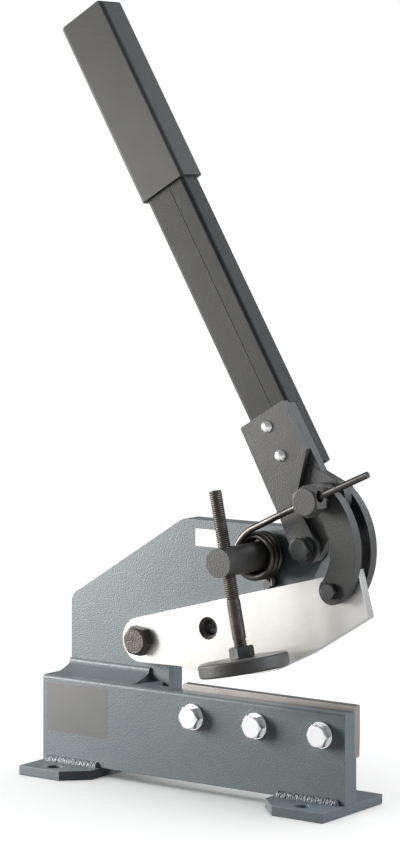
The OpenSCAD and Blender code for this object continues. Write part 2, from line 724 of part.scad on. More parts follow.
module link_washers() {
    color("silver") for (y = [front_washer_y, rear_washer_y]) {
        washer(eye_axis, y, link_washer_t, 2 * link_top_r - link_washer_t, m12_d + 2 * screw_fit);
        washer(link_axis, y, link_washer_t, 2 * link_low_r - link_washer_t, link_pin_d + 2 * screw_fit);
    }
}
module link_pin() {
    y = front_link_y - side_gap - m8_head_h;
    color("dimgray") union() {
        hexagon(link_axis, y, m8_head_h, m8_af);
        pin(link_axis, y + m8_head_h, rear_link_back_y - y - m8_head_h, link_pin_d);
        pin(link_axis, rear_link_back_y, m8_nut_h + bolt_proud, m8_d);
    }
}
module link_pin_nut() {
    color("dimgray") nut(link_axis, rear_link_back_y, m8_nut_h, m8_af, m8_d + 2 * screw_fit);
}

// Eye pin: a tall hexagon head with a cross hole for the spring's leg and a shank through both links
module eye_pin() {
    color("gray") difference() {
        union() {
            upright(eye_axis, eye_head_y) rotate([0, 0, -eye_head_turn])
                cylinder(d = eye_head_af / cos(30), h = eye_head_l, $fn = 6);
            pin(eye_axis, eye_hex_y - overrun,
                rear_link_back_y + side_gap + m12_nut_h + bolt_proud - eye_hex_y + overrun, m12_d);
        }
        translate([eye_axis.x, eye_y, eye_axis.y]) rotate([0, 90 - leg_slope, 0])
            cylinder(d = eye_hole_d, h = 2 * eye_head_af, center = true, $fn = round_fn);
    }
}
module eye_pin_nuts() {
    color("gray") {
        nut(eye_axis, eye_hex_y, eye_hex_t, eye_hex_af, m12_d + 2 * screw_fit);
        nut(eye_axis, rear_link_back_y + side_gap, m12_nut_h, m12_af, m12_d + 2 * screw_fit);
    }
}

// Anchor bolt beside the spring's short rear leg
rear_leg_x = coil_axis.x + coil_r * sin(24.5);
anchor_axis = [rear_leg_x - wire_d / 2 - wire_gap - anchor_af / 2,
    coil_axis.y - coil_r - wire_d / 2 - wire_gap - anchor_af / 2 / cos(30)];
module spring_anchor() {
    color("dimgray") union() {
        upright(anchor_axis, rear_y - anchor_head_h)
            cylinder(d = anchor_af / cos(30), h = anchor_head_h, $fn = 6);
        pin(anchor_axis, rear_y - anchor_head_h, rear_t + anchor_head_h, anchor_d);
    }
}
// Puts a hexagon's corner upright
module upright(at, y) translate([at.x, y, at.y]) rotate([-90, 0, 0]) rotate([0, 0, 30]) children();

// The wire's centre line: short rear leg, bend, coil, lead and long leg through the eye
coil_back_y = rear_y - wire_gap - wire_d / 2;
coil_start = -90 + asin((rear_leg_x - rear_bend_r - coil_axis.x) / coil_r);
coil_sweep = 360 * whole_turns + coil_start + 360 - lead_angle;
coil_front_y = coil_back_y - coil_pitch * coil_sweep / 360;
normal_angle = leg_slope + 90;
leg_offset = (eye_axis - coil_axis) * polar(1, normal_angle);
lead_turn = lead_angle - normal_angle;
lead_r = (leg_offset - coil_r * cos(lead_turn)) / (1 - cos(lead_turn));
lead_centre = coil_axis + polar(coil_r - lead_r, lead_angle);
lead_end = lead_centre + polar(lead_r, normal_angle);
eye_reach = (eye_axis - lead_end) * polar(1, leg_slope);
leg_l = eye_reach + leg_past_eye;
bend_centre = [rear_leg_x - rear_bend_r, coil_axis.y - coil_r * cos(coil_start + 90) - rear_bend_r];
lead_l = lead_r * lead_turn * PI / 180;
// How far the wire has come forwards at a distance s along the lead and the leg
function ease(s) = s * s * (3 - 2 * s);
function wire_y(s) = let (e = lead_l + eye_reach)
    s < e ? coil_front_y + (eye_y - coil_front_y) * ease(s / e)
          : eye_y - tip_drop * (s - e) / leg_past_eye;
function at_xz(p, y) = [p.x, y, p.y];
wire_path = concat(
    [at_xz([rear_leg_x, bend_centre.y - rear_leg_l], coil_back_y)],
    [for (p = arc(bend_centre, rear_bend_r, 0, 75, bend_rings)) at_xz(p, coil_back_y)],
    [for (i = [1:ceil(coil_sweep / 360 * turn_rings) - 1])
        let (f = i / ceil(coil_sweep / 360 * turn_rings))
        at_xz(coil_axis + polar(coil_r, coil_start - coil_sweep * f),
              coil_back_y + (coil_front_y - coil_back_y) * f)],
    [for (i = [0:lead_rings]) let (f = i / lead_rings)
        at_xz(lead_centre + polar(lead_r, lead_angle - lead_turn * f), wire_y(lead_l * f))],
    [for (i = [1:leg_rings]) let (f = i / leg_rings)
        at_xz(lead_end + polar(leg_l * f, leg_slope), wire_y(lead_l + leg_l * f))]);
wire_n = len(wire_path);
function wire_dir(i) = unit(wire_path[min(i + 1, wire_n - 1)] - wire_path[max(i - 1, 0)]);
// Each ring stands square to the wire, with one axis kept close to Y
function wire_side(i) = unit([0, 1, 0] - wire_dir(i).y * wire_dir(i));
wire_points = [for (i = [0:wire_n - 1], k = [0:wire_sides - 1])
    let (a = 360 * k / wire_sides, s = wire_side(i), n = cross(wire_dir(i), s))
    wire_path[i] + wire_d / 2 * (cos(a) * s + sin(a) * n)];
function ring_at(i, k) = i * wire_sides + k % wire_sides;
wire_faces = concat(
    [for (k = [1:wire_sides - 2]) [ring_at(0, 0), ring_at(0, k), ring_at(0, k + 1)]],
    [for (i = [0:wire_n - 2], k = [0:wire_sides - 1], t = [0, 1])
        t == 0 ? [ring_at(i, k), ring_at(i + 1, k), ring_at(i, k + 1)]
               : [ring_at(i + 1, k), ring_at(i + 1, k + 1), ring_at(i, k + 1)]],
    [for (k = [1:wire_sides - 2])
        [ring_at(wire_n - 1, 0), ring_at(wire_n - 1, k + 1), ring_at(wire_n - 1, k)]]);
wire_least_gap = min([for (i = [0:wire_n - 7], j = [i + 6:wire_n - 1])
    norm(wire_path[i] - wire_path[j])]) - wire_d;
echo(wire_least_gap = wire_least_gap);
module spring() { color("#3a302a") polyhedron(points = wire_points, faces = wire_faces, convexity = 10); }

// Hold-down bar with its journal in the rear plate and the cross hole for the screw
module hold_down_bar() {
    color("gray") difference() {
        union() {
            pin(coil_axis, -bar_front, rear_y - side_gap + bar_front, bar_d);
            pin(coil_axis, rear_y - side_gap, rear_t + 2 * side_gap, bar_journal_d);
        }
        pin(coil_axis, rear_back_y + side_gap - bar_screw_depth, bar_screw_depth + overrun,
            m8_d + 2 * screw_fit);
        on_rod(-bar_d) cylinder(d = rod_d + 2 * pin_fit, h = 2 * bar_d, $fn = round_fn);
    }
}
// Screw and washer that keep the bar in the rear plate
module bar_screw() {
    y = rear_back_y + side_gap;
    color("dimgray") union() {
        pin(coil_axis, y, bar_washer_t, bar_washer_d);
        hexagon(coil_axis, y + bar_washer_t, m8_head_h, m8_af);
        pin(coil_axis, y - bar_screw_depth + bolt_proud, bar_screw_depth - bolt_proud, m8_d);
    }
}
module hold_down_screw() {
    color("#4a4038") on_rod(-rod_below - rod_in_pad)
        cylinder(d = rod_d, h = rod_below + rod_in_pad + rod_above, $fn = round_fn);
}
module hold_down_nut() {
    color("gray") on_rod(-rod_below) difference() {
        rotate([0, 0, 30]) cylinder(d = lock_nut_af / cos(30), h = m12_nut_h, $fn = 6);
        translate([0, 0, -overrun])
            cylinder(d = rod_d + 2 * screw_fit, h = m12_nut_h + 2 * overrun, $fn = round_fn);
    }
}
module hold_down_pad() {
    r = pad_d / 2;
    c = pad_chamfer;
    color("dimgray") on_rod(-rod_below) difference() {
        rotate_extrude($fn = round_fn)
            polygon([[0, -pad_t], [r - c, -pad_t], [r, c - pad_t], [r, -c], [r - c, 0], [0, 0]]);
        translate([0, 0, -rod_in_pad - screw_fit])
            cylinder(d = rod_d + 2 * screw_fit, h = rod_in_pad + screw_fit + overrun, $fn = round_fn);
    }
}

module placed() translate(frame_shift) children();
placed() front_plate();
placed() left_foot();
placed() right_foot();
placed() foot_welds();
placed() spacer_block();
placed() rear_plate();
placed() ledge_weld();
placed() lower_blade();
placed() lower_blade_screws();
placed() lower_blade_washers();
placed() upper_blade();
placed() blade_pivot_bolt();
placed() blade_pivot_nut();
placed() lever_pivot_bolt();
placed() lever_pivot_washer();
placed() lever_pivot_nut();
placed() lever_bracket();
placed() lever_plate();
placed() handle_tube();
placed() grip();
placed() bracket_screws();
placed() bracket_nuts();
placed() front_link();
placed() rear_link();
placed() link_washers();
placed() link_pin();
placed() link_pin_nut();
placed() eye_pin();
placed() eye_pin_nuts();
placed() spring_anchor();
placed() spring();
placed() hold_down_bar();
placed() bar_screw();
placed() hold_down_screw();
placed() hold_down_nut();
placed() hold_down_pad();
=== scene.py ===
# %% [markdown]
# # Dressing a bench lever shear
#
# A bench lever shear cuts sheet and round bar with a long handle. Its exact solids are loaded
# first as a fixed frame. This file turns them into what the camera sees: plates with soft
# edges, forged hexagons, rolled threads, weld beads, a round-wire spring and honest finishes.
# Every piece is modelled at its real place, in metres, and each but the spring then rides on the
# body it belongs to.

# %% Load the frame
import json
from math import asin, cos, degrees, pi, radians, sin, sqrt, tan

import bpy
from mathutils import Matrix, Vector


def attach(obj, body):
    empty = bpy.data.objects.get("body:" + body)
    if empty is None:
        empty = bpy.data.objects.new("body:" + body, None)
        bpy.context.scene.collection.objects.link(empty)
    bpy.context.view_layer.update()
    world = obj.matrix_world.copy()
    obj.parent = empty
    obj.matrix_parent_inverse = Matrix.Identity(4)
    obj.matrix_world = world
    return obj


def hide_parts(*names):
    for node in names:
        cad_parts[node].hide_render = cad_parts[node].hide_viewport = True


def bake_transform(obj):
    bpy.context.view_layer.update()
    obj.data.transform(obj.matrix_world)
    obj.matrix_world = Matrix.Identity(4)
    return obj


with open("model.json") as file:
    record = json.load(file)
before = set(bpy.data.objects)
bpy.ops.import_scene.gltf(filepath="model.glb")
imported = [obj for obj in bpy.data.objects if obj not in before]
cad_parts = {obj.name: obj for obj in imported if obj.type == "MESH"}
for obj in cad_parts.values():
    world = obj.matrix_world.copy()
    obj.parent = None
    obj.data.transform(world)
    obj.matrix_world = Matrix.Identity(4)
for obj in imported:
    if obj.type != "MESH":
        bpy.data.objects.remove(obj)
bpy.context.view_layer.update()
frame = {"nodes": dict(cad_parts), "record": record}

body_of = {node: body for body, nodes in frame["record"]["behaviour"]["bodies"].items()
           for node in nodes}

# %% [markdown]
# ## The drawing's point of reference
#
# The drawing of this shear starts at the lower right front corner of the front plate. The
# loaded frame starts at the middle of the four foot holes. One small function turns a point of
# the drawing, in millimetres, into a point of the scene, in metres, so the sizes below read as
# on the drawing. The axes of the joints run along Y, so each is given by its x and z.

# %% Points of the drawing
MM = 0.001
DATUM_X, DATUM_Y = 163.5, -12.5


def at(x, y, z):
    """A point of the drawing, in mm, as a point of the scene."""
    return Vector((x + DATUM_X, y + DATUM_Y, z)) * MM


def along(origin, angle, p, q):
    """A point p across and q along a line that leans by angle degrees from the vertical."""
    a = radians(angle)
    return (origin[0] + p * cos(a) - q * sin(a), origin[1] + p * sin(a) + q * cos(a))


lever_axis = (-53.0, 218.8)
eye_axis = (-33.517, 262.559)
link_axis = (-22.263, 185.527)
blade_axis = (-233.8, 121.9)
bar_axis = (-101.2, 208.6)
handle_lean = 30.3
print("lever pivot stands at", [round(v, 4) for v in at(lever_axis[0], 0, lever_axis[1])])

# %% [markdown]
# ## Camera
#
# The photograph was taken with a long lens from the right front, 36 degrees round, at the
# height of the grip's lower end. The camera is level, which keeps the uprights upright, and the
# lens is shifted down to take in the feet, as a product photographer does.

# %% Camera
photo_height = 858
focal_pixels, horizon_row = 2790.0, 177.0
camera_place, camera_turn = (1.4430, -1.9808, 0.537), 36


def add(name, operator, **settings):
    """Add one object by its operator, and name it."""
    bpy.ops.object.select_all(action="DESELECT")
    operator(**settings)
    piece = bpy.context.object
    piece.name = name
    return piece


camera = add("camera", bpy.ops.object.camera_add, location=camera_place,
             rotation=(radians(90), 0, radians(camera_turn)))
camera.data.sensor_width = 36.0
camera.data.lens = focal_pixels / photo_height * camera.data.sensor_width
camera.data.shift_y = (horizon_row - photo_height / 2) / photo_height
bpy.context.scene.camera = camera
print("lens", round(camera.data.lens, 1), "mm, shift", round(camera.data.shift_y, 3))

# %% [markdown]
# ## Floor and light
#
# The photograph has a white studio sweep. A soft panel stands in front on the left and makes
# the left end of each plate lighter than the right end. A cooler panel on the right gives the
# faces that look that way their blue-grey tone, and a third one behind draws the bright rims of
# the tube. The floor has a light of its own, a wide overhead sun that is linked to it alone,
# and the panels leave it out. So the floor is white and only the soft shadow at the feet shows.

# %% Floor
floor_size, floor_drop = 400, 0.0004

floor = add("floor", bpy.ops.mesh.primitive_plane_add, size=floor_size,
            location=(0, 0, -floor_drop))
print("floor:", floor_size, "m wide")

# %% Soft panels
def soft_light(name, place, aim, width, height, power, colour):
    """A panel of light that looks at a point."""
    turn = (Vector(aim) - Vector(place)).to_track_quat("-Z", "Y").to_euler()
    light = add(name, bpy.ops.object.light_add, type="AREA", location=place, rotation=turn)
    light.data.shape = "RECTANGLE"
    light.data.size = width
    light.data.size_y = height
    light.data.energy = power
    light.data.color = colour
    light.visible_camera = False
    return light


panels = [
    soft_light("key", place=(-0.76, -0.44, 0.32), aim=(-0.10, 0, 0.26),
               width=0.5, height=0.5, power=17.5, colour=(1.0, 0.985, 0.96)),
    soft_light("side", place=(1.2, 0.45, 0.85), aim=(-0.05, 0, 0.35),
               width=0.7, height=0.7, power=20, colour=(0.90, 0.95, 1.0)),
    soft_light("rim", place=(0.45, 1.5, 1.35), aim=(-0.1, 0, 0.45),
               width=0.9, height=0.9, power=7, colour=(0.88, 0.94, 1.0))]
print("panels:", [panel.name for panel in panels])

# %% A sun for the floor
def light_group(name, *pieces):
    """A collection of pieces that lights can be linked to."""
    group = bpy.data.collections.new(name)
    for piece in pieces:
        group.objects.link(piece)
    return group


floor_sun = add("floor_sun", bpy.ops.object.light_add, type="SUN", location=(0, 0, 3))
floor_sun.data.energy = 3.35
floor_sun.data.angle = radians(140)
floor_sun.light_linking.receiver_collection = light_group("lit_by_the_floor_sun", floor)

left_out = light_group("not_lit_by_the_panels", floor)
left_out.collection_objects[0].light_linking.link_state = "EXCLUDE"
for panel in panels:
    panel.light_linking.receiver_collection = left_out
print("the floor has the sun alone, and", len(panels), "panels leave it out")

# %% [markdown]
# ## White surround
#
# The camera sees a white background. The pieces feel only a dim one, or the paint would look
# flat, and in their mirrored faces it is a little brighter. The Light Path node tells the three
# kinds of ray apart.

# %% Surround
seen_strength = 1.0
felt_on_matt, felt_in_mirrors = 0.11, 0.30


def set_inputs(node, **values):
    """Set a node's inputs by their labels, with _ for a space."""
    for label, value in values.items():
        node.inputs[label.replace("_", " ")].default_value = value
    return node


def new_node(tree, kind, **values):
    """A new node of this kind, with these values."""
    return set_inputs(tree.nodes.new(kind), **values)


def link(output, socket):
    """Link an output to an input of the same tree."""
    output.id_data.links.new(output, socket)


world = bpy.data.worlds.new("studio")
bpy.context.scene.world = world
world.use_nodes = True
surround = world.node_tree
seen = set_inputs(surround.nodes["Background"], Color=(1, 1, 1, 1), Strength=seen_strength)
felt = new_node(surround, "ShaderNodeBackground", Color=(0.96, 0.98, 1, 1))
world_ray = new_node(surround, "ShaderNodeLightPath")
felt_strength = new_node(surround, "ShaderNodeMapRange", To_Min=felt_on_matt,
                         To_Max=felt_in_mirrors)
link(world_ray.outputs["Is Glossy Ray"], felt_strength.inputs["Value"])
link(felt_strength.outputs["Result"], felt.inputs["Strength"])
seen_or_felt = new_node(surround, "ShaderNodeMixShader")
link(world_ray.outputs["Is Camera Ray"], seen_or_felt.inputs["Fac"])
link(felt.outputs["Background"], seen_or_felt.inputs[1])
link(seen.outputs["Background"], seen_or_felt.inputs[2])
link(seen_or_felt.outputs["Shader"], surround.nodes["World Output"].inputs["Surface"])
bpy.context.scene.view_settings.view_transform = "Standard"
print("surround: white to the camera,", felt_on_matt, "to", felt_in_mirrors, "to the pieces")

# %% [markdown]
# ## Shared effects
#
# Three effects serve most of the finishes, so each is a node group built once. *Clouds* is slow
# unevenness over the surface. *Pebbles* is the small relief that sprayed texture paint and
# castings have. *Edges* finds outside edges, which are lightened partly where paint is thin and
# steel is handled bright, and partly as a painted highlight.
# They put out plain values, and each material decides what to do with them.

# %% Node helpers
def new_group(name, inputs, outputs):
    """An empty node group with named value sockets."""
    group = bpy.data.node_groups.new(name, "ShaderNodeTree")
    for label, value in inputs:
        socket = group.interface.new_socket(label, in_out="INPUT",
                                            socket_type="NodeSocketFloat")
        socket.default_value = value
    for label in outputs:
        group.interface.new_socket(label, in_out="OUTPUT", socket_type="NodeSocketFloat")
    return group, group.nodes.new("NodeGroupInput"), group.nodes.new("NodeGroupOutput")


def math_node(tree, kind, a, b, clamp=False):
    """A Math node with each side a socket or a number."""
    node = new_node(tree, "ShaderNodeMath")
    node.operation = kind
    node.use_clamp = clamp
    for slot, side in ((0, a), (1, b)):
        if isinstance(side, (int, float)):
            node.inputs[slot].default_value = side
        else:
            link(side, node.inputs[slot])
    return node.outputs[0]


def object_place(tree, turn=(0, 0, 0), stretch=(1, 1, 1)):
    """Object coordinates, turned and stretched."""
    coordinate = new_node(tree, "ShaderNodeTexCoord")
    mapping = new_node(tree, "ShaderNodeMapping", Rotation=turn,
                       Scale=[1 / s for s in stretch])
    mapping.vector_type = "TEXTURE"
    link(coordinate.outputs["Object"], mapping.inputs["Vector"])
    return mapping.outputs["Vector"]


# %% Clouds
clouds, given, result = new_group(
    "clouds", [("Scale", 20.0), ("Detail", 3.0), ("Low", 0.0), ("High", 1.0)], ["Value"])
noise = new_node(clouds, "ShaderNodeTexNoise", Roughness=0.6)
link(object_place(clouds), noise.inputs["Vector"])
link(given.outputs["Scale"], noise.inputs["Scale"])
link(given.outputs["Detail"], noise.inputs["Detail"])
steeper = new_node(clouds, "ShaderNodeMapRange", From_Min=0.33, From_Max=0.67)
link(noise.outputs["Fac"], steeper.inputs["Value"])
link(given.outputs["Low"], steeper.inputs["To Min"])
link(given.outputs["High"], steeper.inputs["To Max"])
link(steeper.outputs["Result"], result.inputs["Value"])
print("clouds:", len(clouds.nodes), "nodes")

# %% Pebbles
fine_ratio, fine_share, hollow_gain = 1.7, 0.5, 1.4

pebbles, given, result = new_group(
    "pebbles", [("Scale", 700.0), ("Softness", 0.6)], ["Height", "Hollow"])
cell = new_node(pebbles, "ShaderNodeTexVoronoi")
cell.feature = "SMOOTH_F1"
spot = object_place(pebbles)
link(spot, cell.inputs["Vector"])
link(given.outputs["Scale"], cell.inputs["Scale"])
link(given.outputs["Softness"], cell.inputs["Smoothness"])
fine = new_node(pebbles, "ShaderNodeTexNoise", Detail=3.0)
link(spot, fine.inputs["Vector"])
fine_scale = math_node(pebbles, "MULTIPLY", given.outputs["Scale"], fine_ratio)
link(fine_scale, fine.inputs["Scale"])
hill = math_node(pebbles, "SUBTRACT", 1.0, cell.outputs["Distance"])
grit = math_node(pebbles, "MULTIPLY", fine.outputs["Fac"], fine_share)
link(math_node(pebbles, "ADD", hill, grit), result.inputs["Height"])
# Hollow is the mask for painted shade in the hollows between the pebbles.
hollow = math_node(pebbles, "MULTIPLY", cell.outputs["Distance"], hollow_gain, clamp=True)
link(hollow, result.inputs["Hollow"])
print("pebbles:", len(pebbles.nodes), "nodes")

# %% Edges
bend_gain, patch_scale, patch_from, patch_gain = 6.0, 160.0, 0.35, 3.0

edges, given, result = new_group("edges", [("Radius", 0.0008), ("Strength", 1.0)], ["Mask"])
rounded_normal = new_node(edges, "ShaderNodeBevel")
rounded_normal.samples = 6
link(given.outputs["Radius"], rounded_normal.inputs["Radius"])
own_normal = new_node(edges, "ShaderNodeNewGeometry")
agree = new_node(edges, "ShaderNodeVectorMath")
agree.operation = "DOT_PRODUCT"
link(rounded_normal.outputs["Normal"], agree.inputs[0])
link(own_normal.outputs["Normal"], agree.inputs[1])
apart = math_node(edges, "SUBTRACT", 1.0, agree.outputs["Value"])
bent = math_node(edges, "MULTIPLY", apart, bend_gain, clamp=True)
broken = new_node(edges, "ShaderNodeTexNoise", Scale=patch_scale, Detail=4.0)
link(object_place(edges), broken.inputs["Vector"])
above = math_node(edges, "SUBTRACT", broken.outputs["Fac"], patch_from)
patch = math_node(edges, "MULTIPLY", above, patch_gain, clamp=True)
# The mask lightens outside edges: partly paint and oxide worn off by handling, partly a painted
# highlight along the edge.
worn_and_highlit_edge = math_node(edges, "MULTIPLY", bent, patch)
link(math_node(edges, "MULTIPLY", worn_and_highlit_edge, given.outputs["Strength"]), result.inputs["Mask"])
print("groups:", [g.name for g in bpy.data.node_groups])

# %% [markdown]
# ## Finishes
#
# Painted frame: a blue-grey hammered paint, semi-gloss, with a grain of about a millimetre.
# Painted lever and links: the same kind of paint in dark grey, finer. Ground steel: bright
# metal with fine lines along the blade. Zinc, black oxide and oiled spring steel each have
# their own tint and gloss. All are Principled shaders fed by the shared effects.

# %% Material helpers
def new_finish(name, roughness, metallic=0.0, coat=0.0, specular=0.5):
    """A material with one Principled shader, and constants on the shader's own sockets."""
    material = bpy.data.materials.new(name)
    material.use_nodes = True
    tree = material.node_tree
    shader = tree.nodes["Principled BSDF"]
    set_inputs(shader, Roughness=roughness, Metallic=metallic, Coat_Weight=coat,
               Coat_Roughness=0.25, Specular_IOR_Level=specular)
    return material, tree, shader


def put(tree, group, **values):
    """One of the shared effects, with its own values."""
    node = new_node(tree, "ShaderNodeGroup")
    node.node_tree = group
    return set_inputs(node, **values)


def blend_colours(tree, mask, low, high):
    """Two colours, or sockets, mixed by a mask."""
    mix = new_node(tree, "ShaderNodeMix")
    mix.data_type = "RGBA"
    link(mask, mix.inputs["Factor"])
    for slot, colour in ((6, low), (7, high)):
        if isinstance(colour, tuple):
            mix.inputs[slot].default_value = (*colour, 1)
        else:
            link(colour, mix.inputs[slot])
    return mix.outputs[2]


def relief(tree, shader, height, distance):
    """A bump of this many metres on the shader's normal."""
    bump = new_node(tree, "ShaderNodeBump", Distance=distance, Strength=1.0)
    link(height, bump.inputs["Height"])
    link(bump.outputs["Normal"], shader.inputs["Normal"])


# %% Texture paints
def texture_paint(name, dark, light, worn_and_highlit, scale, depth, roughness, coat, wear_and_highlight, drift,
                  specular=0.5):
    """Sprayed paint with a pebbled skin, painted shade in its hollows, slow tone changes and
    edges lightened partly by wear and partly as a painted highlight.
    """
    hollow_shade_share, hollow_shade = 0.35, 0.55
    material, tree, shader = new_finish(name, roughness, coat=coat, specular=specular)
    skin = put(tree, pebbles, Scale=scale)
    tone = put(tree, clouds, Scale=14.0, Low=0.5 - drift / 2, High=0.5 + drift / 2)
    base = blend_colours(tree, tone.outputs["Value"], dark, light)
    # The hollows are painted darker: painted shade in the recesses of the skin.
    shaded = math_node(tree, "MULTIPLY", skin.outputs["Hollow"], hollow_shade_share)
    hollow_shade_painted = blend_colours(tree, shaded, base, tuple(c * hollow_shade for c in dark))
    # Edges take the lighter colour: partly worn paint, partly a painted highlight.
    edge = put(tree, edges, Radius=0.0009, Strength=wear_and_highlight)
    link(blend_colours(tree, edge.outputs["Mask"], hollow_shade_painted, worn_and_highlit), shader.inputs["Base Color"])
    shine = put(tree, clouds, Scale=45.0, Low=roughness - 0.06 * drift,
                High=roughness + 0.08 * drift)
    link(shine.outputs["Value"], shader.inputs["Roughness"])
    relief(tree, shader, skin.outputs["Height"], depth)
    return material


frame_paint = texture_paint(
    "hammered_blue_grey", dark=(0.146, 0.174, 0.188), light=(0.180, 0.210, 0.223),
    worn_and_highlit=(0.42, 0.46, 0.48), scale=850.0, depth=0.00018, roughness=0.42, coat=0.12, wear_and_highlight=0.55,
    drift=0.5, specular=0.4)
lever_paint = texture_paint(
    "fine_dark_grey", dark=(0.036, 0.036, 0.036), light=(0.043, 0.043, 0.042),
    worn_and_highlit=(0.22, 0.22, 0.22), scale=1000.0, depth=0.00018, roughness=0.50, coat=0.1, wear_and_highlight=0.9,
    drift=0.5)
tube_paint = texture_paint(
    "smooth_dark_grey", dark=(0.012, 0.012, 0.012), light=(0.014, 0.014, 0.014),
    worn_and_highlit=(0.12, 0.12, 0.12), scale=1300.0, depth=0.00014, roughness=0.55, coat=0.0, wear_and_highlight=0.6,
    drift=0.2, specular=0.32)
cast_grey = texture_paint(
    "cast_dark_grey", dark=(0.072, 0.069, 0.065), light=(0.095, 0.091, 0.086),
    worn_and_highlit=(0.30, 0.29, 0.27), scale=750.0, depth=0.00016, roughness=0.48, coat=0.0, wear_and_highlight=0.8,
    drift=0.6)
print("paints:", [m.name for m in (frame_paint, lever_paint, tube_paint, cast_grey)])

# %% Ground steel
blade_slope = -14.9


def ground_steel(name, dark, light, turn, roughness, scratch):
    """Bright steel with fine grinding lines along one direction."""
    line_share, line_stretch = 0.8, (30, 900, 900)
    material, tree, shader = new_finish(name, roughness, metallic=1.0)
    lines = new_node(tree, "ShaderNodeTexNoise", Scale=1.0, Detail=5.0, Roughness=0.7)
    link(object_place(tree, turn=(0, turn, 0), stretch=line_stretch), lines.inputs["Vector"])
    tone = put(tree, clouds, Scale=22.0, High=0.35)
    mask = math_node(tree, "ADD", math_node(tree, "MULTIPLY", lines.outputs["Fac"], line_share),
                     tone.outputs["Value"], clamp=True)
    link(blend_colours(tree, mask, light, dark), shader.inputs["Base Color"])
    streak = new_node(tree, "ShaderNodeMapRange", To_Min=roughness - 0.08,
                      To_Max=roughness + 0.12)
    link(lines.outputs["Fac"], streak.inputs["Value"])
    link(streak.outputs["Result"], shader.inputs["Roughness"])
    relief(tree, shader, lines.outputs["Fac"], scratch)
    return material


upper_steel = ground_steel(
    "ground_bright_steel", dark=(0.42, 0.415, 0.40), light=(0.56, 0.55, 0.535),
    turn=radians(blade_slope), roughness=0.36, scratch=0.00002)
lower_steel = ground_steel(
    "ground_tool_steel", dark=(0.24, 0.22, 0.205), light=(0.46, 0.435, 0.42),
    turn=0.0, roughness=0.34, scratch=0.00002)
print("ground steels:", [m.name for m in (upper_steel, lower_steel)])

# %% Plated, blackened and oiled metal
def small_metal(name, dark, light, worn_and_highlit, roughness, scale, depth, wear_and_highlight, metallic=1.0,
                grain=1500.0, drift=1.0):
    """Metal with a tint that drifts, edges lightened partly by handling and partly as a painted
    highlight, and a slight skin.
    """
    material, tree, shader = new_finish(name, roughness, metallic=metallic)
    tone = put(tree, clouds, Scale=scale, Detail=4.0)
    # Edges take the lighter colour: partly worn metal, partly a painted highlight.
    edge = put(tree, edges, Radius=0.0006, Strength=wear_and_highlight)
    base = blend_colours(tree, tone.outputs["Value"], dark, light)
    link(blend_colours(tree, edge.outputs["Mask"], base, worn_and_highlit), shader.inputs["Base Color"])
    shine = put(tree, clouds, Scale=scale * 3, Detail=4.0, Low=roughness - 0.07 * drift,
                High=roughness + 0.1 * drift)
    link(shine.outputs["Value"], shader.inputs["Roughness"])
    skin = put(tree, pebbles, Scale=grain)
    relief(tree, shader, skin.outputs["Height"], depth)
    return material


zinc = small_metal(
    "bright_zinc", dark=(0.89, 0.895, 0.90), light=(0.91, 0.915, 0.92), worn_and_highlit=(0.95, 0.95, 0.95),
    roughness=0.30, scale=18.0, depth=0.0000003, wear_and_highlight=0.3, drift=0.0)
black_oxide = small_metal(
    "black_oxide", dark=(0.060, 0.062, 0.064), light=(0.105, 0.107, 0.105),
    worn_and_highlit=(0.34, 0.34, 0.33), roughness=0.40, scale=90.0, depth=0.00005, wear_and_highlight=0.7, metallic=0.75)
brown_oxide = small_metal(
    "brown_black_oxide", dark=(0.058, 0.049, 0.043), light=(0.098, 0.084, 0.075),
    worn_and_highlit=(0.30, 0.27, 0.24), roughness=0.42, scale=110.0, depth=0.00020, wear_and_highlight=0.8,
    metallic=0.45, grain=600.0)
spring_steel = small_metal(
    "oiled_spring_steel", dark=(0.052, 0.047, 0.043), light=(0.090, 0.083, 0.077),
    worn_and_highlit=(0.24, 0.22, 0.20), roughness=0.33, scale=60.0, depth=0.00003, wear_and_highlight=0.6, metallic=0.9)
print("small metals:", [m.name for m in (zinc, black_oxide, brown_oxide, spring_steel)])

# %% Grip and labels
def smooth_skin(name, dark, light, roughness, scale, depth, coat=0.0):
    """Moulded or printed skin: an even colour with a faint drift and a fine relief."""
    material, tree, shader = new_finish(name, roughness, coat=coat)
    tone = put(tree, clouds, Scale=9.0)
    link(blend_colours(tree, tone.outputs["Value"], dark, light), shader.inputs["Base Color"])
    shine = put(tree, clouds, Scale=30.0, Low=roughness - 0.01, High=roughness + 0.02)
    link(shine.outputs["Value"], shader.inputs["Roughness"])
    skin = put(tree, pebbles, Scale=scale)
    relief(tree, shader, skin.outputs["Height"], depth)
    return material


grip_skin = smooth_skin(
    "satin_dark_grip", dark=(0.031, 0.031, 0.029), light=(0.033, 0.033, 0.031),
    roughness=0.60, scale=1600.0, depth=0.00003)
grey_label = smooth_skin(
    "bare_grey_label", dark=(0.130, 0.131, 0.130), light=(0.150, 0.151, 0.149),
    roughness=0.36, scale=900.0, depth=0.00001, coat=0.3)
white_label = smooth_skin(
    "bare_white_label", dark=(0.90, 0.90, 0.89), light=(0.94, 0.94, 0.93),
    roughness=0.40, scale=900.0, depth=0.00001, coat=0.3)
print("skins:", [m.name for m in (grip_skin, grey_label, white_label)])

# %% [markdown]
# ## Floor finish
#
# The floor is white to the camera and nearly white in mirrored faces, so bright metal has
# something to mirror. To all other rays it is dark, and throws no light up at the paint.

# %% Floor finish
mirrored_share = 0.75

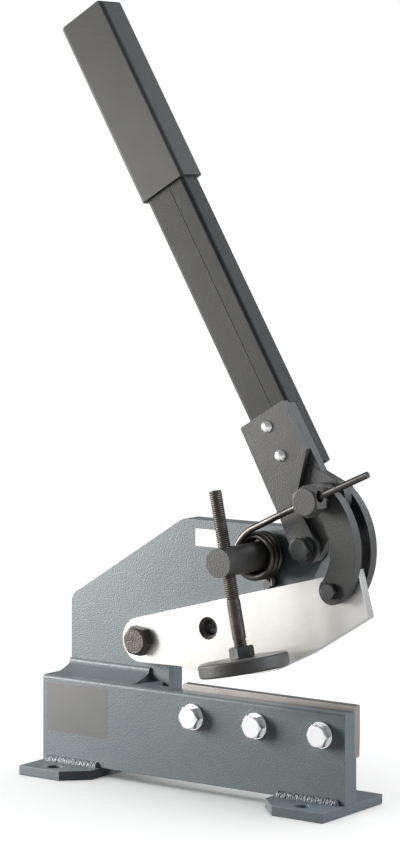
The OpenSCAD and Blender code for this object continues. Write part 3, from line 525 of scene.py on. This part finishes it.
pale, floor_tree, white = new_finish("pale_floor", 0.9, specular=0.0)
set_inputs(white, Base_Color=(0.95, 0.95, 0.95, 1))
dim = new_node(floor_tree, "ShaderNodeBsdfDiffuse", Color=(0.09, 0.09, 0.09, 1))
ray = new_node(floor_tree, "ShaderNodeLightPath")
mirrored = math_node(floor_tree, "MULTIPLY", ray.outputs["Is Glossy Ray"], mirrored_share)
white_part = math_node(floor_tree, "MAXIMUM", ray.outputs["Is Camera Ray"], mirrored)
white_or_dim = new_node(floor_tree, "ShaderNodeMixShader")
link(white_part, white_or_dim.inputs["Fac"])
link(dim.outputs["BSDF"], white_or_dim.inputs[1])
link(white.outputs["BSDF"], white_or_dim.inputs[2])
link(white_or_dim.outputs["Shader"], floor_tree.nodes["Material Output"].inputs["Surface"])
floor.data.materials.append(pale)
print("finishes:", len(bpy.data.materials))

# %% [markdown]
# ## Soft edges on sawn and ground plates
#
# No real plate has a perfectly sharp edge: paint rounds it, and it catches a thin line of
# light. Each plate starts as a merged copy of its exact solid. Flat areas are dissolved into
# single faces, then a small bevel rounds every real corner. The copy then stands for the node.

# %% Copy a solid and soften its edges
same_point, still_flat = 0.004 * MM, radians(1.0)


def only(piece):
    """Deselect all, then select this piece and make it active."""
    bpy.ops.object.select_all(action="DESELECT")
    piece.select_set(True)
    bpy.context.view_layer.objects.active = piece


def edit(action="SELECT"):
    """Go to edit mode with everything selected, or nothing."""
    bpy.ops.object.mode_set(mode="EDIT")
    bpy.ops.mesh.select_all(action=action)


def leave_edit():
    """Go back to object mode."""
    bpy.ops.object.mode_set(mode="OBJECT")


def merged_copy(node, name):
    """A copy of a node's mesh, with its loose triangles merged and its flats made one face."""
    piece = bpy.data.objects.new(name, frame["nodes"][node].data.copy())
    bpy.context.scene.collection.objects.link(piece)
    piece.data.materials.clear()
    only(piece)
    bpy.ops.mesh.customdata_custom_splitnormals_clear()
    edit()
    bpy.ops.mesh.remove_doubles(threshold=same_point)
    bpy.ops.mesh.dissolve_limited(angle_limit=still_flat)
    leave_edit()
    return piece


def apply_modifier(piece, kind, **settings):
    """Add one modifier with these settings and apply it."""
    only(piece)
    bpy.ops.object.modifier_add(type=kind)
    modifier = piece.modifiers[-1]
    for key, value in settings.items():
        setattr(modifier, key, value)
    bpy.ops.object.modifier_apply(modifier=modifier.name)
    return piece


def soften(piece, width, segments=2, angle=32):
    """Round every edge sharper than angle by width, in mm."""
    apply_modifier(piece, "BEVEL", width=width * MM, segments=segments, limit_method="ANGLE",
                   angle_limit=radians(angle), miter_outer="MITER_ARC", harden_normals=False)
    bpy.ops.object.shade_smooth_by_angle(angle=radians(angle))
    apply_modifier(piece, "WEIGHTED_NORMAL", mode="FACE_AREA", weight=80, keep_sharp=True)
    return piece


# %% Finish a piece
def settle(piece):
    """Write the piece's place, turn and size into its mesh."""
    only(piece)
    bpy.ops.object.transform_apply(location=True, rotation=True, scale=True)
    return piece


def dress(piece, material):
    """Settle a piece and give it its finish."""
    settle(piece)
    piece.data.materials.clear()
    piece.data.materials.append(material)
    return piece


def finish_piece(piece, material, slot, *nodes, body=""):
    """Dress a piece, hide the nodes it stands for, and let it ride on its body."""
    dress(piece, material)
    if nodes:
        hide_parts(*nodes)
    body = body or body_of[nodes[0]]
    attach(piece, body)
    print(piece.name, "-", len(piece.data.polygons), "faces on", body)
    return piece


# %% Frame plates and welded forms
for node, width in [("front_plate", 0.7), ("left_foot", 0.8), ("right_foot", 0.8),
                    ("spacer_block", 0.5), ("rear_plate", 0.9), ("ledge_weld", 0.4)]:
    finish_piece(soften(merged_copy(node, "soft_" + node), width),
                 frame_paint, "frame_paint", node)

# %% Lever, links, hold-down forms, blades and washers
for node, width, material, slot in [
        ("lever_bracket", 0.6, lever_paint, "lever_paint"),
        ("lever_plate", 0.6, lever_paint, "lever_paint"),
        ("front_link", 0.8, lever_paint, "lever_paint"),
        ("rear_link", 0.8, lever_paint, "lever_paint"),
        ("hold_down_bar", 0.7, cast_grey, "black_oxide"),
        ("hold_down_pad", 0.5, cast_grey, "black_oxide"),
        ("upper_blade", 0.35, upper_steel, "upper_blade_steel"),
        ("lower_blade", 0.3, lower_steel, "lower_blade_steel"),
        ("lower_blade_washers", 0.25, zinc, "zinc"),
        ("link_washers", 0.25, zinc, "zinc"),
        ("lever_pivot_washer", 0.25, black_oxide, "black_oxide")]:
    finish_piece(soften(merged_copy(node, "soft_" + node), width), material, slot, node)

# %% [markdown]
# ## Seam on the tube
#
# The handle is a rolled and welded tube, and a low weld line runs along its front face. On the
# merged copy the front face is cut twice with the bisect tool, one millimetre apart, and the
# narrow strip between the cuts is extruded a quarter of a millimetre, before the edges soften.

# %% Cut the seam's strip
seam_from, seam_to, seam_rise, seam_slack = 26.0, 27.0, 0.25, 0.1
tube_axis = at(lever_axis[0], 0, lever_axis[1])
across = Vector((cos(radians(handle_lean)), 0, sin(radians(handle_lean))))
in_front_of = at(0, 25, 0).y

tube = merged_copy("handle_tube", "soft_handle_tube")
for p in (seam_from, seam_to):
    x, z = along(lever_axis, handle_lean, p, 0)
    edit()
    bpy.ops.mesh.bisect(plane_co=at(x, 0, z), plane_no=across)
leave_edit()
print("tube with two cuts:", len(tube.data.polygons), "faces")

# %% Raise the strip
def on_seam(face):
    """Whether a face of the tube is the strip between the two cuts."""
    p = (face.center - tube_axis).dot(across) / MM
    return (face.normal.y < -0.99 and face.center.y < in_front_of
            and seam_from - seam_slack < p < seam_to + seam_slack)


edit("DESELECT")
bpy.ops.mesh.select_mode(type="FACE")
leave_edit()
for face in tube.data.polygons:
    face.select = on_seam(face)
print("seam strips:", sum(face.select for face in tube.data.polygons))
bpy.ops.object.mode_set(mode="EDIT")
bpy.ops.mesh.extrude_region_move(TRANSFORM_OT_translate={"value": (0, -seam_rise * MM, 0)})
leave_edit()
finish_piece(soften(tube, 0.4), tube_paint, "lever_paint", "handle_tube")

# %% [markdown]
# ## Grip
#
# The grip is a slid-on sleeve of soft plastic. The drawing already gives it rounder corners
# than the tube has. What is left are its rims, which are rolled, so a wider bevel with four
# segments rounds them.

# %% Grip
finish_piece(soften(merged_copy("grip", "soft_grip"), 1.5, segments=4, angle=40),
             grip_skin, "grip_plastic", "grip")

# %% [markdown]
# ## Countersink of the round-bar hole
#
# On the photograph the countersink in the bright blade is dark and brown, because the heat of
# hardening is only ground off the flats. Its faces are found by their distance from the hole's
# axis, and take the brown oxide instead of the ground finish.

# %% Brown countersink
hole_across, hole_up = 74.8, 17.5
mouth_r, flat_from = 10.3 * MM, 0.95
hole_axis = at(blade_axis[0] + hole_across, 0, blade_axis[1] + hole_up)

blade = bpy.data.objects["soft_upper_blade"]
blade.data.materials.append(brown_oxide)
found = 0
for face in blade.data.polygons:
    radius = sqrt((face.center.x - hole_axis.x) ** 2 + (face.center.z - hole_axis.z) ** 2)
    if radius < mouth_r and abs(face.normal.y) < flat_from:
        face.material_index = 1
        found += 1
print("countersink faces:", found)

# %% [markdown]
# ## Hexagons
#
# A forged head or nut starts as a sawn hexagon. A lathe then turns its corners back at 30
# degrees, which leaves the round face and the curved chamfers that catch the light. The same two
# steps are taken here: a six-sided prism is intersected with a wide, flat cone.

# %% Bars, cuts and joins
def cut(piece, tool, operation):
    """Apply a boolean of piece with tool, and remove the tool."""
    apply_modifier(piece, "BOOLEAN", operation=operation, solver="EXACT", object=tool)
    bpy.data.objects.remove(tool)
    return piece


def cylinder(name, place, front, back, diameter):
    """A plain cylinder along Y."""
    return add(name, bpy.ops.mesh.primitive_cylinder_add, vertices=56,
               radius=diameter / 2 * MM, depth=(back - front) * MM,
               location=at(place[0], (front + back) / 2, place[1]), rotation=(pi / 2, 0, 0))


def round_bar(name, place, front, back, diameter, chamfer=0.4):
    """A turned bar along Y with broken edges."""
    return soften(settle(cylinder(name, place, front, back, diameter)), chamfer)


def join(name, *parts):
    """Several parts as one piece."""
    bpy.ops.object.select_all(action="DESELECT")
    for part in parts:
        part.select_set(True)
    bpy.context.view_layer.objects.active = parts[0]
    bpy.ops.object.join()
    parts[0].name = name
    return parts[0]


# %% Hexagon, nut and ring
def hexagon(name, place, front, back, flats, sides=(-1,), turn=0.0, bore=0.0, face=0.95,
            slope=30):
    """A hexagon along Y whose corners are turned back on the given sides to a round face."""
    middle, height = at(place[0], (front + back) / 2, place[1]), (back - front) * MM
    piece = add(name, bpy.ops.mesh.primitive_cylinder_add, vertices=6,
                radius=flats / sqrt(3) * MM, depth=height, location=middle,
                rotation=(pi / 2, radians(30 + turn), 0))
    small = flats * face / 2 * MM
    for side in sides:
        cone = add("cone", bpy.ops.mesh.primitive_cone_add, vertices=72,
                   radius1=small + height / tan(radians(slope)), radius2=small, depth=height,
                   location=middle, rotation=(-side * pi / 2, 0, 0))
        cut(piece, cone, "INTERSECT")
    if bore:
        through = back - front
        cut(piece, cylinder("bore", place, front - through, back + through, bore), "DIFFERENCE")
    settle(piece)
    bpy.ops.object.shade_smooth_by_angle(angle=radians(24))
    return piece


def nut(name, place, front, back, flats, bore, turn=0.0):
    """A nut along Y, with the corners of both its faces turned back."""
    return hexagon(name, place, front, back, flats, sides=(-1, 1), turn=turn, bore=bore)


def ring(name, place, front, back, outer, inner):
    """A flat washer along Y with broken edges."""
    through = 25.0
    piece = round_bar(name, place, front, back, outer, 0.3)
    cut(piece, cylinder("bore", place, front - through, back + through, inner), "DIFFERENCE")
    bpy.ops.object.shade_smooth_by_angle(angle=radians(32))
    return piece

# %% [markdown]
# ## Threads
#
# A thread is one tooth that climbs a helix. A three-cornered outline is set at the thread's
# radius, the Screw modifier sweeps it round the axis with one pitch of rise for each turn, and
# the two open ends are closed. A core inside holds the teeth together.

# %% One tooth up a helix
def thread(name, diameter, pitch, length):
    """The tooth of a right-handed thread along Z, from 0 to length in mm."""
    steps, reach = 22, pitch * 0.55 * MM
    tooth = settle(add(name, bpy.ops.mesh.primitive_circle_add, vertices=3, radius=reach,
                       fill_type="NOTHING", rotation=(pi / 2, pi / 2, 0),
                       location=(diameter / 2 * MM - reach, 0, 0)))
    apply_modifier(tooth, "SCREW", angle=2 * pi, screw_offset=pitch * MM,
                   iterations=max(1, int(length / pitch)), steps=steps, render_steps=steps,
                   use_merge_vertices=False, use_smooth_shade=False)
    edit()
    bpy.ops.mesh.fill_holes(sides=3)
    bpy.ops.mesh.normals_make_consistent(inside=False)
    leave_edit()
    bpy.ops.object.shade_smooth_by_angle(angle=radians(35))
    return tooth


def threaded_end(name, place, front, back, diameter, pitch):
    """A threaded end along Y: a core with a broken edge, and its teeth."""
    core = round_bar(name, place, front, back, diameter - 1.1 * pitch, 0.25 * pitch)
    tooth = thread(name + "_tooth", diameter, pitch, back - front - 1.6 * pitch)
    tooth.rotation_euler = (-pi / 2, 0, 0)
    tooth.location = at(place[0], front + 0.6 * pitch, place[1])
    return join(name, core, settle(tooth))

# %% [markdown]
# ## Bolts, pins and nuts
#
# Each fastener is a head, a plain shank and a threaded end that stands a little out of its nut.
# The places and sizes are the drawing's, so each stays in the holes that the plates have for it.

# %% Bolts by their standard sizes
M16 = {"flats": 24.0, "diameter": 16.0, "pitch": 2.0}
M12 = {"flats": 18.0, "diameter": 12.0, "pitch": 1.75}
M8 = {"flats": 13.0, "diameter": 8.0, "pitch": 1.25}
M6 = {"flats": 10.0, "diameter": 6.0, "pitch": 1.0}


def bolt(name, place, head, shank, end, flats, diameter, pitch, shank_diameter=None, **shape):
    """A hexagon bolt along Y; head, shank and end each run from a front to a back."""
    return join(name, hexagon("head", place, *head, flats, **shape),
                round_bar("shank", place, *shank, shank_diameter or diameter),
                threaded_end("end", place, *end, diameter, pitch))


# %% Lower blade screws, bright zinc
screws = []
for x in (-157.2, -90.0, -22.8):
    screws.append(hexagon("screw_head", (x, 65.5), -9.9, -2.4, M12["flats"]))
    screws.append(round_bar("screw_shank", (x, 65.5), -2.6, 22.7, M12["diameter"], 0.8))
finish_piece(join("blade_screws", *screws), zinc, "zinc", "lower_blade_screws")

# %% Blade pivot bolt
blade_bolt = bolt("blade_bolt", blade_axis, head=(13.7, 23.7), shank=(23.5, 55.0),
                  end=(55.0, 72.6), turn=8, face=0.86, slope=40, **M16)
finish_piece(blade_bolt, brown_oxide, "black_oxide", "blade_pivot_bolt")
blade_nut = join("blade_bolt_nut", nut("nut", blade_axis, 57.1, 70.1, M16["flats"], bore=15.0),
                 ring("washer", blade_axis, 54.1, 57.1, 30.0, 16.2))
finish_piece(blade_nut, black_oxide, "black_oxide", "blade_pivot_nut")

# %% Lever pivot bolt
lever_bolt = bolt("lever_bolt", lever_axis, head=(7.8, 15.3), shank=(15.1, 55.0),
                  end=(55.0, 69.0), **M12)
finish_piece(lever_bolt, black_oxide, "black_oxide", "lever_pivot_bolt")
lever_nut = join("lever_bolt_nut", nut("nut", lever_axis, 56.5, 66.5, M12["flats"], bore=11.2),
                 ring("washer", lever_axis, 54.1, 56.5, 20.0, 12.2))
finish_piece(lever_nut, black_oxide, "black_oxide", "lever_pivot_nut")

# %% Lower link pin and the eye pin's nuts
link_bolt = bolt("link_bolt", link_axis, head=(6.3, 11.6), shank=(11.4, 45.9),
                 end=(45.7, 56.4), shank_diameter=10.0, **M8)
finish_piece(link_bolt, black_oxide, "black_oxide", "link_pin")
finish_piece(nut("link_bolt_nut", link_axis, 45.9, 53.9, M8["flats"], bore=7.2),
             black_oxide, "black_oxide", "link_pin_nut")
eye_nuts = join("eye_nuts", hexagon("front_nut", eye_axis, 3.7, 11.6, M12["flats"], bore=11.6),
                nut("rear_nut", eye_axis, 46.0, 56.0, M12["flats"], bore=11.6))
finish_piece(eye_nuts, black_oxide, "black_oxide", "eye_pin_nuts")

# %% Eye pin, its tall head drilled for the spring
leg_slope, leg_y = 23.7, -4.15

eye = hexagon("eye_bolt", eye_axis, -12.0, 3.7, 24.0, turn=22, face=0.93)
drill = add("drill", bpy.ops.mesh.primitive_cylinder_add, vertices=56, radius=5.25 * MM,
            depth=50 * MM, location=at(eye_axis[0], leg_y, eye_axis[1]),
            rotation=(0, radians(90 - leg_slope), 0))
soften(cut(eye, drill, "DIFFERENCE"), 0.4, angle=20)
eye = join("eye_bolt", eye, round_bar("shank", eye_axis, 2.7, 46.0, M12["diameter"]),
           threaded_end("end", eye_axis, 46.0, 58.5, M12["diameter"], M12["pitch"]))
finish_piece(eye, cast_grey, "black_oxide", "eye_pin")

# %% Anchor bolt of the spring's rear leg
coil_r, rear_leg_angle = 18.0, 24.5
drawn_wire_r, wire_gap, anchor_flats = 3.0, 0.3, 8.0
wire_clear = drawn_wire_r + wire_gap
rear_leg_x = bar_axis[0] + coil_r * sin(radians(rear_leg_angle))
anchor_axis = (rear_leg_x - wire_clear - anchor_flats / 2,
               bar_axis[1] - coil_r - wire_clear - anchor_flats / sqrt(3))

anchor = join("anchor_bolt", hexagon("head", anchor_axis, 30.1, 34.1, anchor_flats, turn=30),
              round_bar("shank", anchor_axis, 34.0, 54.1, 5.0))
finish_piece(anchor, black_oxide, "black_oxide", "spring_anchor")

# %% Screw that keeps the bar
keeper = join("bar_keeper", hexagon("head", bar_axis, 57.2, 62.5, M8["flats"], sides=(1,)),
              round_bar("washer", bar_axis, 54.2, 57.2, 32.0),
              round_bar("shank", bar_axis, 34.7, 54.4, M8["diameter"]))
finish_piece(keeper, black_oxide, "black_oxide", "bar_screw")

# %% [markdown]
# ## Round-headed bracket screws
#
# The two bright screws on the bracket have low domed heads. A sphere is cut by the bisect tool
# just under its crown, and the cap that stays is the dome. It is closed underneath.

# %% Domed heads
def domed_head(name, place, front, back, diameter):
    """A low dome along Y, cut from a sphere."""
    height = back - front
    sphere_radius = (diameter ** 2 / 4 + height ** 2) / (2 * height)
    piece = settle(add(name, bpy.ops.mesh.primitive_uv_sphere_add, segments=40, ring_count=40,
                       radius=sphere_radius * MM, rotation=(pi / 2, 0, 0),
                       location=at(place[0], front + sphere_radius, place[1])))
    edit()
    bpy.ops.mesh.bisect(plane_co=at(0, back, 0), plane_no=(0, 1, 0), use_fill=True,
                        clear_outer=True)
    leave_edit()
    return soften(piece, 0.3)


# %% Bracket screws and nuts
tube_w, tube_shift, screw_side = 46, -0.0217, 4.2
screw_line = tube_shift * tube_w + tube_w / 2 - screw_side

screws, nuts = [], []
for q in (80.0, 108.0):
    place = along(lever_axis, handle_lean, screw_line, q)
    screws += [domed_head("dome", place, 14.2, 17.8, 11.5),
               round_bar("shank", place, 17.6, 46.0, M6["diameter"]),
               threaded_end("end", place, 46.0, 54.0, M6["diameter"], M6["pitch"])]
    nuts.append(nut("nut", place, 47.8, 52.8, M6["flats"], bore=5.4))
finish_piece(join("bracket_bolts", *screws), zinc, "zinc", "bracket_screws")
finish_piece(join("bracket_bolt_nuts", *nuts), zinc, "zinc", "bracket_nuts")

# %% [markdown]
# ## Hold-down screw and its nut
#
# The screw is threaded from the top to a hand's breadth under the bar, plain in its middle, and
# threaded again where the nut locks the pad. It stands on a slant, so it is built upright and
# then leaned over as one piece.

# %% Upright bars and the slant
rod_lean, rod_y = 11.6, -29.0
rod_above, rod_below = 61.4, 82.0


def lean_on_rod(piece):
    """Put an upright piece, built about the origin, on the slanted screw's line."""
    only(piece)
    piece.rotation_euler = (0, -radians(rod_lean), 0)
    piece.location = at(bar_axis[0], rod_y, bar_axis[1])
    return settle(piece)


def upright_bar(name, low, high, diameter, chamfer):
    """A turned bar along Z with broken edges."""
    piece = settle(add(name, bpy.ops.mesh.primitive_cylinder_add, vertices=48,
                       radius=diameter / 2 * MM, depth=(high - low) * MM,
                       location=(0, 0, (low + high) / 2 * MM)))
    return soften(piece, chamfer)


# %% Hold-down screw
teeth = []
for name, low, length in [("upper_thread", -32.6, 93.0), ("lower_thread", -81.0, 15.0)]:
    tooth = thread(name, M12["diameter"], M12["pitch"], length)
    tooth.location = (0, 0, low * MM)
    teeth.append(settle(tooth))
spindle = join("spindle", upright_bar("core", -rod_below - 9.0, rod_above, 10.2, 0.7),
               upright_bar("plain_part", -66.0, -33.0, 11.8, 0.6), *teeth)
finish_piece(lean_on_rod(spindle), brown_oxide, "black_oxide", "hold_down_screw")

# %% Lock nut above the pad
nut_half = 5.0

lock_nut = nut("lock_nut", (-DATUM_X, 0), -DATUM_Y - nut_half, -DATUM_Y + nut_half, 19.0,
               bore=11.0, turn=-13)
lock_nut.rotation_euler = (pi / 2, 0, 0)
lock_nut.location = (0, 0, (nut_half - rod_below) * MM)
settle(lock_nut)
heights = [v.co.z / MM for v in lock_nut.data.vertices]
print("nut stands on the rod from", round(min(heights), 1), "to", round(max(heights), 1))
finish_piece(lean_on_rod(lock_nut), black_oxide, "black_oxide", "hold_down_nut")

# %% [markdown]
# ## Return spring
#
# The spring is one length of round wire: a short leg behind, three turns and a bit round the bar,
# and a long leg that leaves the coil, runs through the eye and stands out behind it. A curve
# follows the drawing's own formulas and gets a round section. The rear leg stays at its anchor
# bolt while the long leg swings; here the wire is baked in place as one mesh and rides on no
# body.

# %% Sizes of the spring
wire, coil_pitch = 5.95, 6.5
rear_plate_y, rear_bend_r, rear_leg_l = 34.1, 5, 4
lead_angle, leg_comes_forward = 150, 2.0
leg_past_eye, drawn_past_eye = 65.7, 66

coil_back = rear_plate_y - wire_clear
coil_start = -90 + degrees(asin((rear_leg_x - rear_bend_r - bar_axis[0]) / coil_r))
coil_sweep = 360 * 3 + coil_start + 360 - lead_angle
coil_front = coil_back - coil_pitch * coil_sweep / 360
print("coil of", round(coil_sweep / 360, 2), "turns,", round(coil_front, 1), "to",
      round(coil_back, 1), "mm deep")

# %% [markdown]
# ### From the coil to the leg
#
# The wire leaves the coil on an arc of a wider radius, the lead, and the arc ends where the
# straight leg begins. The radius is the one for which the leg's line passes through the eye.
# Over the lead and the leg the wire also comes forwards, on a smooth step.

# %% Lead and leg
def polar(radius, angle, centre=(0, 0)):
    """A point on a circle, by its angle in degrees."""
    return (centre[0] + radius * cos(radians(angle)), centre[1] + radius * sin(radians(angle)))


def along_angle(start, end, angle):
    """How far end lies from start in the direction of angle."""
    direction = polar(1, angle)
    return (end[0] - start[0]) * direction[0] + (end[1] - start[1]) * direction[1]


normal = leg_slope + 90
lead_sweep = lead_angle - normal
offset = along_angle(bar_axis, eye_axis, normal)
lead_r = (offset - coil_r * cos(radians(lead_sweep))) / (1 - cos(radians(lead_sweep)))
lead_centre = polar(coil_r - lead_r, lead_angle, bar_axis)
lead_end = polar(lead_r, normal, lead_centre)
lead_length = lead_r * radians(lead_sweep)
leg_to_eye = along_angle(lead_end, eye_axis, leg_slope)


def wire_y(s):
    """How far forwards the wire is at a distance s along the lead and the leg."""
    to_eye = lead_length + leg_to_eye
    if s >= to_eye:
        return leg_y - leg_comes_forward * (s - to_eye) / drawn_past_eye
    t = s / to_eye
    return coil_front + (leg_y - coil_front) * t * t * (3 - 2 * t)


print("lead of radius", round(lead_r, 1), "mm, leg of", round(leg_to_eye, 1), "mm to the eye")

# %% Route of the wire
coil_steps, lead_steps, leg_steps = 180, 14, 40


def route_point(place, y):
    """A point of the route from its x and z, and its depth."""
    return (place[0], y, place[1])


bend = (rear_leg_x - rear_bend_r,
        bar_axis[1] - coil_r * cos(radians(coil_start + 90)) - rear_bend_r)
route = [(rear_leg_x, coil_back, bend[1] - rear_leg_l + rise) for rise in (0.0, 2.0)]
route += [route_point(polar(rear_bend_r, a, bend), coil_back) for a in range(0, 90, 10)]
route += [route_point(polar(coil_r, coil_start - coil_sweep * i / coil_steps, bar_axis),
                      coil_back + (coil_front - coil_back) * i / coil_steps)
          for i in range(1, coil_steps)]
route += [route_point(polar(lead_r, lead_angle - lead_sweep * i / lead_steps, lead_centre),
                      wire_y(lead_length * i / lead_steps)) for i in range(lead_steps + 1)]
leg = leg_to_eye + leg_past_eye
route += [route_point(polar(leg * i / leg_steps, leg_slope, lead_end),
                      wire_y(lead_length + leg * i / leg_steps)) for i in range(1, leg_steps + 1)]
print("route of", len(route), "points")

# %% Spring wire
coil = add("spring_wire", bpy.ops.curve.primitive_bezier_curve_add)
line = coil.data
line.splines.clear()
spline = line.splines.new("POLY")
spline.points.add(len(route) - 1)
for point, (x, y, z) in zip(spline.points, route):
    point.co = (*at(x, y, z), 1)
line.dimensions = "3D"
line.bevel_depth = wire / 2 * MM
line.bevel_resolution = 6
line.use_fill_caps = True
bpy.ops.object.convert(target="MESH")
coil = dress(soften(bpy.context.object, 0.5, angle=60), spring_steel)
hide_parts("spring")
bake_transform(coil)
print(coil.name, "-", len(coil.data.polygons), "faces between frame and return_spring")

# %% [markdown]
# ## Weld beads
#
# A weld bead is a row of overlapping scales, one for each step of the torch. One squashed ball
# is modelled, an array lays the row, a fine remesh melts the row into one skin, and a little
# displacement gives it the uneven surface that shows under the paint. Half of the bead is
# inside the plates, as in a real fillet that has burnt in.

# %% Lay a bead
rough = bpy.data.textures.new("spatter", "CLOUDS")
rough.noise_scale = 0.0022
rough.noise_depth = 3


def weld_bead(name, place, length, radius, step, uneven):
    """Scales of a weld along X, melted into one bead."""
    piece = add(name, bpy.ops.mesh.primitive_uv_sphere_add, segments=20, ring_count=12,
                radius=radius * MM, location=at(*place))
    bpy.ops.transform.resize(value=(0.55, 1, 1))
    settle(piece)
    apply_modifier(piece, "ARRAY", count=int(length / step) + 1, use_relative_offset=False,
                   use_constant_offset=True, constant_offset_displace=(step * MM, 0, 0))
    apply_modifier(piece, "REMESH", mode="VOXEL", voxel_size=0.45 * MM)
    apply_modifier(piece, "DISPLACE", texture=rough, strength=uneven * MM, mid_level=0.5,
                   texture_coords="LOCAL")
    bpy.ops.object.shade_smooth()
    return piece


# %% Beads on the feet and on the ledge
foot_top, plate_front, plate_back = 8.3, 0.3, 17.7
beads = [weld_bead("bead", (start, y, foot_top), length, radius=4.7, step=2.1, uneven=1.5)
         for start, length in ((-321.0, 57.0), (-66.6, 60.0)) for y in (plate_front, plate_back)]
finish_piece(join("foot_beads", *beads), frame_paint, "frame_paint", "foot_welds")
ledge_bead = weld_bead("ledge_bead", (-318.0, 34.6, 93.6), 85.0, radius=2.9, step=1.7, uneven=0.5)
finish_piece(ledge_bead, frame_paint, "frame_paint", body="frame")

# %% [markdown]
# ## Bare labels
#
# Two labels show on the frame. They are kept as blank stickers: thin sheets with rounded
# corners, three tenths of a millimetre thick, which lie half sunk in the paint.

# %% Stickers
sheet = 0.3


def sticker(name, x0, x1, z0, z1, y, corner, material):
    """A blank sticker on a face that looks to the front."""
    piece = add(name, bpy.ops.mesh.primitive_cube_add, size=1,
                location=at((x0 + x1) / 2, y, (z0 + z1) / 2))
    piece.scale = ((x1 - x0) * MM, sheet * MM, (z1 - z0) * MM)
    settle(piece)
    edit("DESELECT")
    bpy.ops.mesh.select_mode(type="EDGE")
    leave_edit()
    for edge in piece.data.edges:
        a, b = (piece.data.vertices[i].co for i in edge.vertices)
        edge.select = abs(a.y - b.y) > sheet / 2 * MM
    bpy.ops.object.mode_set(mode="EDIT")
    bpy.ops.mesh.bevel(offset=corner * MM, segments=6, affect="EDGES")
    leave_edit()
    return finish_piece(soften(piece, 0.08, angle=60), material, "frame_paint", body="frame")


sticker("blank_grey_sticker", x0=-322.0, x1=-253.0, z0=35.0, z1=79.0, y=0.05, corner=1.2,
        material=grey_label)
sticker("blank_white_sticker", x0=-180.2, x1=-155.0, z0=209.6, z1=225.0, y=34.15, corner=1.0,
        material=white_label)

# %% [markdown]
# ## A card for the bright metal
#
# Bright steel and zinc only look bright when they mirror something bright. A photographer
# holds a white card where the camera sees it in the steel. The card here is a wide, weak panel
# low in front on the left, and it is linked to the bright pieces alone, so the paint keeps its
# depth.

# %% Reflector card
card = soft_light("card", place=(-0.75, -1.05, 0.0), aim=(0.0, 0, 0.14),
                  width=1.2, height=0.7, power=0.7, colour=(1, 1, 1))
bright = light_group("lit_by_the_card", *(bpy.data.objects[name] for name in (
    "soft_upper_blade", "soft_lower_blade", "blade_screws", "bracket_bolts",
    "soft_lower_blade_washers")))
card.light_linking.receiver_collection = bright
